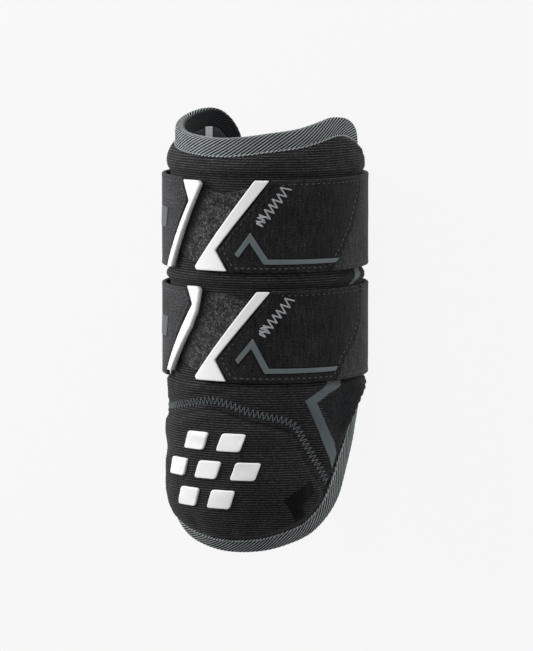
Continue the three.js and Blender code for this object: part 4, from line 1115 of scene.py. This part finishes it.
# ---- threads ------------------------------------------------------------------------------------------
def threads(name, lines, radius, material, sides=6):
    """Joined little tubes: each line is an (n, 3) path in mm, closed at both ends by a point."""
    verts, faces, chart = [], [], []
    base = 0
    ring_a = np.linspace(0, 2 * np.pi, sides, endpoint=False)
    for path, up in lines:
        path, up = np.asarray(path, float), np.asarray(up, float)
        n = len(path)
        t = np.gradient(path, axis=0)
        t /= np.maximum(1e-9, np.linalg.norm(t, axis=1))[:, None]
        b = np.cross(t, up)
        b /= np.maximum(1e-9, np.linalg.norm(b, axis=1))[:, None]
        u = np.cross(b, t)
        taper = np.ones(n)
        taper[0] = taper[-1] = 0.35
        run = np.r_[0, np.cumsum(np.linalg.norm(np.diff(path, axis=0), axis=1))]
        for i in range(n):
            for a in ring_a:
                verts.append(path[i] + radius * taper[i] * (math.cos(a) * b[i] + math.sin(a) * u[i]))
                chart.append((run[i], a / (2 * np.pi) * 0.5 * 2, base % 97))
        for i in range(n - 1):
            for k in range(sides):
                k2 = (k + 1) % sides
                faces.append((base + i * sides + k, base + i * sides + k2, base + (i + 1) * sides + k2, base + (i + 1) * sides + k))
        faces.append(tuple(base + k for k in reversed(range(sides))))
        faces.append(tuple(base + (n - 1) * sides + k for k in range(sides)))
        base += n * sides
    return make(name, np.array(verts), faces, material, chart=np.array(chart))


def up_of(where, x, v, off):
    p, q = where(x, v, off), where(x, v, np.asarray(off) + 1.0)
    d = q - p
    return d / np.linalg.norm(d, axis=-1, keepdims=True)


def running(where, poly, level, dash=1.7, space=0.75, dip=0.28, closed=False):
    """Running stitches along a chart polyline."""
    p = resample(poly, 0.2, closed)
    if closed:
        p = np.vstack([p, p[:1]])
    s = np.r_[0, np.cumsum(np.hypot(*np.diff(p, axis=0).T))]
    n = max(1, int(s[-1] / (dash + space)))
    real = s[-1] / n
    out = []
    for i in range(n):
        w = np.linspace(i * real + space / 2, (i + 1) * real - space / 2, 6)
        x, v = np.interp(w, s, p[:, 0]), np.interp(w, s, p[:, 1])
        arch = np.sin(np.linspace(0, np.pi, 6)) ** 0.7
        off = level - dip * (1 - arch)
        out.append((where(x, v, off), up_of(where, x, v, np.full(6, level))))
    return out


STITCH = {
    "upper": [
        [(34.4, 76.9), (45.7, 77.1), (61.2, 77.1), (76.4, 77.0), (90.4, 77.0)],
        [(90.2, 76.6), (87.4, 67.8), (83.8, 60.4), (80.6, 54.3), (75.9, 48.6), (72.5, 43.8), (67.4, 38.4), (63.4, 34.7)],
        [(8.6, 34.7), (23.4, 34.7), (40, 34.7), (58, 34.7), (63.4, 34.7)],
        [(28.9, 75.5), (18, 62.9), (9.6, 53.6), (2.4, 44.6), (3.2, 42.3), (8.0, 35.2)]],
    "lower": [
        [(34.4, 20.9), (45.7, 20.9), (61.2, 20.9), (76.4, 20.9), (90.6, 20.8)],
        [(90.8, 20.4), (90.5, 5.6), (85.6, -1.2), (81.6, -4.9), (74.4, -11.1), (70.8, -16.2), (67.9, -21.2)],
        [(7.9, -21.3), (23.4, -21.3), (40, -21.3), (58, -21.3), (67.6, -21.3)],
        [(28.9, 19.3), (18, 7.0), (9.6, -2.4), (1.8, -11.4), (2.6, -13.7), (7.3, -20.8)]],
}
ZIG = {
    "upper": ([(34.7, 75.6), (32.8, 72.4), (30.2, 69.8), (28.3, 67.2), (25.9, 64.6), (23.1, 62.0), (21.5, 58.9)],
              [(40.9, 74.4), (38.0, 71.0), (35.6, 68.0), (33.0, 65.4), (31.1, 62.8), (29.0, 59.8), (26.2, 58.0), (25.2, 55.9)]),
    "lower": ([(37.1, 19.6), (34.7, 16.6), (32.3, 13.6), (30.2, 11.2), (27.6, 8.8), (25.2, 5.9), (23.1, 3.3)],
              [(42.7, 18.2), (40.0, 14.9), (37.6, 11.9), (35.2, 9.8), (32.8, 7.2), (30.6, 4.6), (28.8, 2.0), (26.6, 0.0)]),
}
for s, (low, high) in STRAPS.items():
    lines = []
    for poly in STITCH[s]:
        lines += running(strap_place, mm(poly), 2.04, 1.9, 1.1)
    threads("stitches_panel_" + s, lines, 0.22, THREAD_DARK)
    # bar tack
    a, b = ZIG[s]
    pts = []
    for i in range(len(b)):
        pts.append(b[i])
        if i < len(a):
            pts.append(a[i])
    path = resample(mm(pts), 0.35, False)
    k = np.linspace(0, 1, len(path))
    level = np.full(len(path), 2.3)
    zz = [(strap_place(path[:, 0], path[:, 1], level), up_of(strap_place, path[:, 0], path[:, 1], level))]
    tail = resample(mm([b[-1], (b[-1][0] - 3.4, b[-1][1] + 1.6), (b[-1][0] + 0.6, b[-1][1] + 3.4), (b[-1][0] - 2.9, b[-1][1] + 4.6), (b[-1][0] + 2.2, b[-1][1] + 5.0)]), 0.35, False)
    zz.append((strap_place(tail[:, 0], tail[:, 1], np.full(len(tail), 2.55)), up_of(strap_place, tail[:, 0], tail[:, 1], np.full(len(tail), 2.55))))
    threads("bar_tack_" + s, zz, 0.42, THREAD_LIGHT, 8)
    # hem stitches on the elastic, right round the back, and along the tab's slanted end
    edge, tab = FRONT[s]["edge"], FRONT[s]["tab"]
    lines = []
    for v in (low + 2.3, high - 2.3):
        s0 = float(strap_s(np.interp(v, [p[1] for p in edge], [p[0] for p in edge]))) + 1.2
        s1 = 2 * HALF + float(strap_s(np.interp(v, [p[1] for p in tab][::-1], [p[0] for p in tab][::-1]))) - 2.6
        lines += running(strap_around, [(s0, v), (s1, v)], 1.98)
    vv = np.linspace(low + 2.6, high - 2.6, 9)
    sa = 2 * HALF + strap_s(np.interp(vv, [p[1] for p in tab][::-1], [p[0] for p in tab][::-1])) - 2.6
    lines += running(strap_around, list(zip(sa, vv)), 1.98)
    threads("stitches_strap_" + s, lines, 0.19, THREAD_DARK)

# zigzag over the cap's seam
sx = np.linspace(-108, 70, 800)
sp = np.stack([sx * K, seam_at(sx * K)], 1)
sl = np.r_[0, np.cumsum(np.hypot(*np.diff(sp, axis=0).T))]
tooth = 1.25
marks = np.arange(2, sl[-1] - 2, tooth)
cx_, cv_ = np.interp(marks, sl, sp[:, 0]), np.interp(marks, sl, sp[:, 1])
tx, tv = np.gradient(cx_), np.gradient(cv_)
tl = np.hypot(tx, tv)
sgn = np.where(np.arange(len(marks)) % 2, 1, -1)
zx, zv = cx_ - tv / tl * 2.1 * sgn, cv_ + tx / tl * 2.1 * sgn
zd = edge_dist(zx, zv)
keepz = zd > 10.0
run_, lines = [], []
for i in range(len(marks) - 1):
    if keepz[i] and keepz[i + 1]:
        w = np.linspace(0, 1, 5)
        x, v = mix(zx[i], zx[i + 1], w), mix(zv[i], zv[i + 1], w)
        lines.append((surface(x, v, 0.3, True), up_of(lambda a, b, c: place(a, b, c), x, v, np.zeros(5))))
threads("seam_zigzag", lines, 0.22, THREAD_GREY, 5)

# small beads of thread where the tape's edge is sewn down
bl = edge_frame(64)[2]
beads = int(round(bl / 2.5))
bp, bn, _ = edge_frame(beads * 8)
lines = []
for i in range(beads):
    at_ = (i * 8 + np.array([9, 7, 5, 3, 1])) % len(bp)
    p = bp[at_] + bn[at_] * np.array([9.45, 9.3, 9.1, 8.9, 8.7])[:, None]
    off = -recess(p[:, 1]) + np.array([0.05, 0.4, 0.5, 0.42, 0.15])
    lines.append((place(p[:, 0], p[:, 1], off), up_of(place, p[:, 0], p[:, 1], off)))
threads("tape_stitches", lines, 0.36, THREAD_LIGHT, 6)

# ---- floor, light, camera -----------------------------------------------------------------------------
me = bpy.data.meshes.new("floor")
me.from_pydata([(-4, -4, -0.0004), (4, -4, -0.0004), (4, 4, -0.0004), (-4, 4, -0.0004)], [], [(0, 1, 2, 3)])
floor = bpy.data.objects.new("floor", me)
bpy.context.scene.collection.objects.link(floor)
fm = bpy.data.materials.new("floor_pale")
fm.use_nodes = True
fb = fm.node_tree.nodes["Principled BSDF"]
fb.inputs["Base Color"].default_value = (0.03, 0.03, 0.03, 1)
fb.inputs["Roughness"].default_value = 0.9
fb.inputs["Specular IOR Level"].default_value = 0.1
fb.inputs["Emission Color"].default_value = (1, 1, 1, 1)
fb.inputs["Emission Strength"].default_value = 0.9
me.materials.append(fm)

world = bpy.data.worlds.new("studio")
bpy.context.scene.world = world
world.use_nodes = True
world.node_tree.nodes["Background"].inputs[0].default_value = (1, 1, 1, 1)
world.node_tree.nodes["Background"].inputs[1].default_value = 0.24


def area(name, loc, target, size, power):
    l = bpy.data.lights.new(name, "AREA")
    l.shape = "RECTANGLE"
    l.size, l.size_y = size
    l.energy = power
    o = bpy.data.objects.new(name, l)
    o.location = loc
    o.rotation_euler = (Vector(target) - Vector(loc)).to_track_quat("-Z", "Y").to_euler()
    bpy.context.scene.collection.objects.link(o)
    return o


TARGET = Vector((0.00077, 0.00105, 0.0442))
A, E = math.radians(27), math.radians(6.5)
C = Vector((math.sin(A) * math.cos(E), math.sin(E), math.cos(A) * math.cos(E)))
area("left_box", (-0.95, 0.35, 0.55), TARGET, (0.4, 0.8), 12.5)
area("right_box", (1.25, 0.25, 0.25), TARGET, (0.5, 1.1), 3.0)
area("front", (0.25, 0.75, 1.35), TARGET, (0.6, 0.5), 5.5)
area("top", (0.1, 1.3, 0.35), TARGET, (1.0, 0.5), 5.0)

cam = bpy.data.cameras.new("camera")
cam.lens = 2500 / 0.515 / 651 * 36
cam.sensor_width = 36
cam.clip_start, cam.clip_end = 0.05, 50
camera = bpy.data.objects.new("camera", cam)
camera.location = TARGET + 2.5 * C
right = Vector((math.cos(A), 0, -math.sin(A)))
up = C.cross(right)
from mathutils import Matrix

camera.rotation_euler = Matrix((right, up, C)).transposed().to_euler()
bpy.context.scene.collection.objects.link(camera)
bpy.context.scene.camera = camera
bpy.context.scene.view_settings.view_transform = "Standard"
bpy.context.scene.view_settings.look = "None"
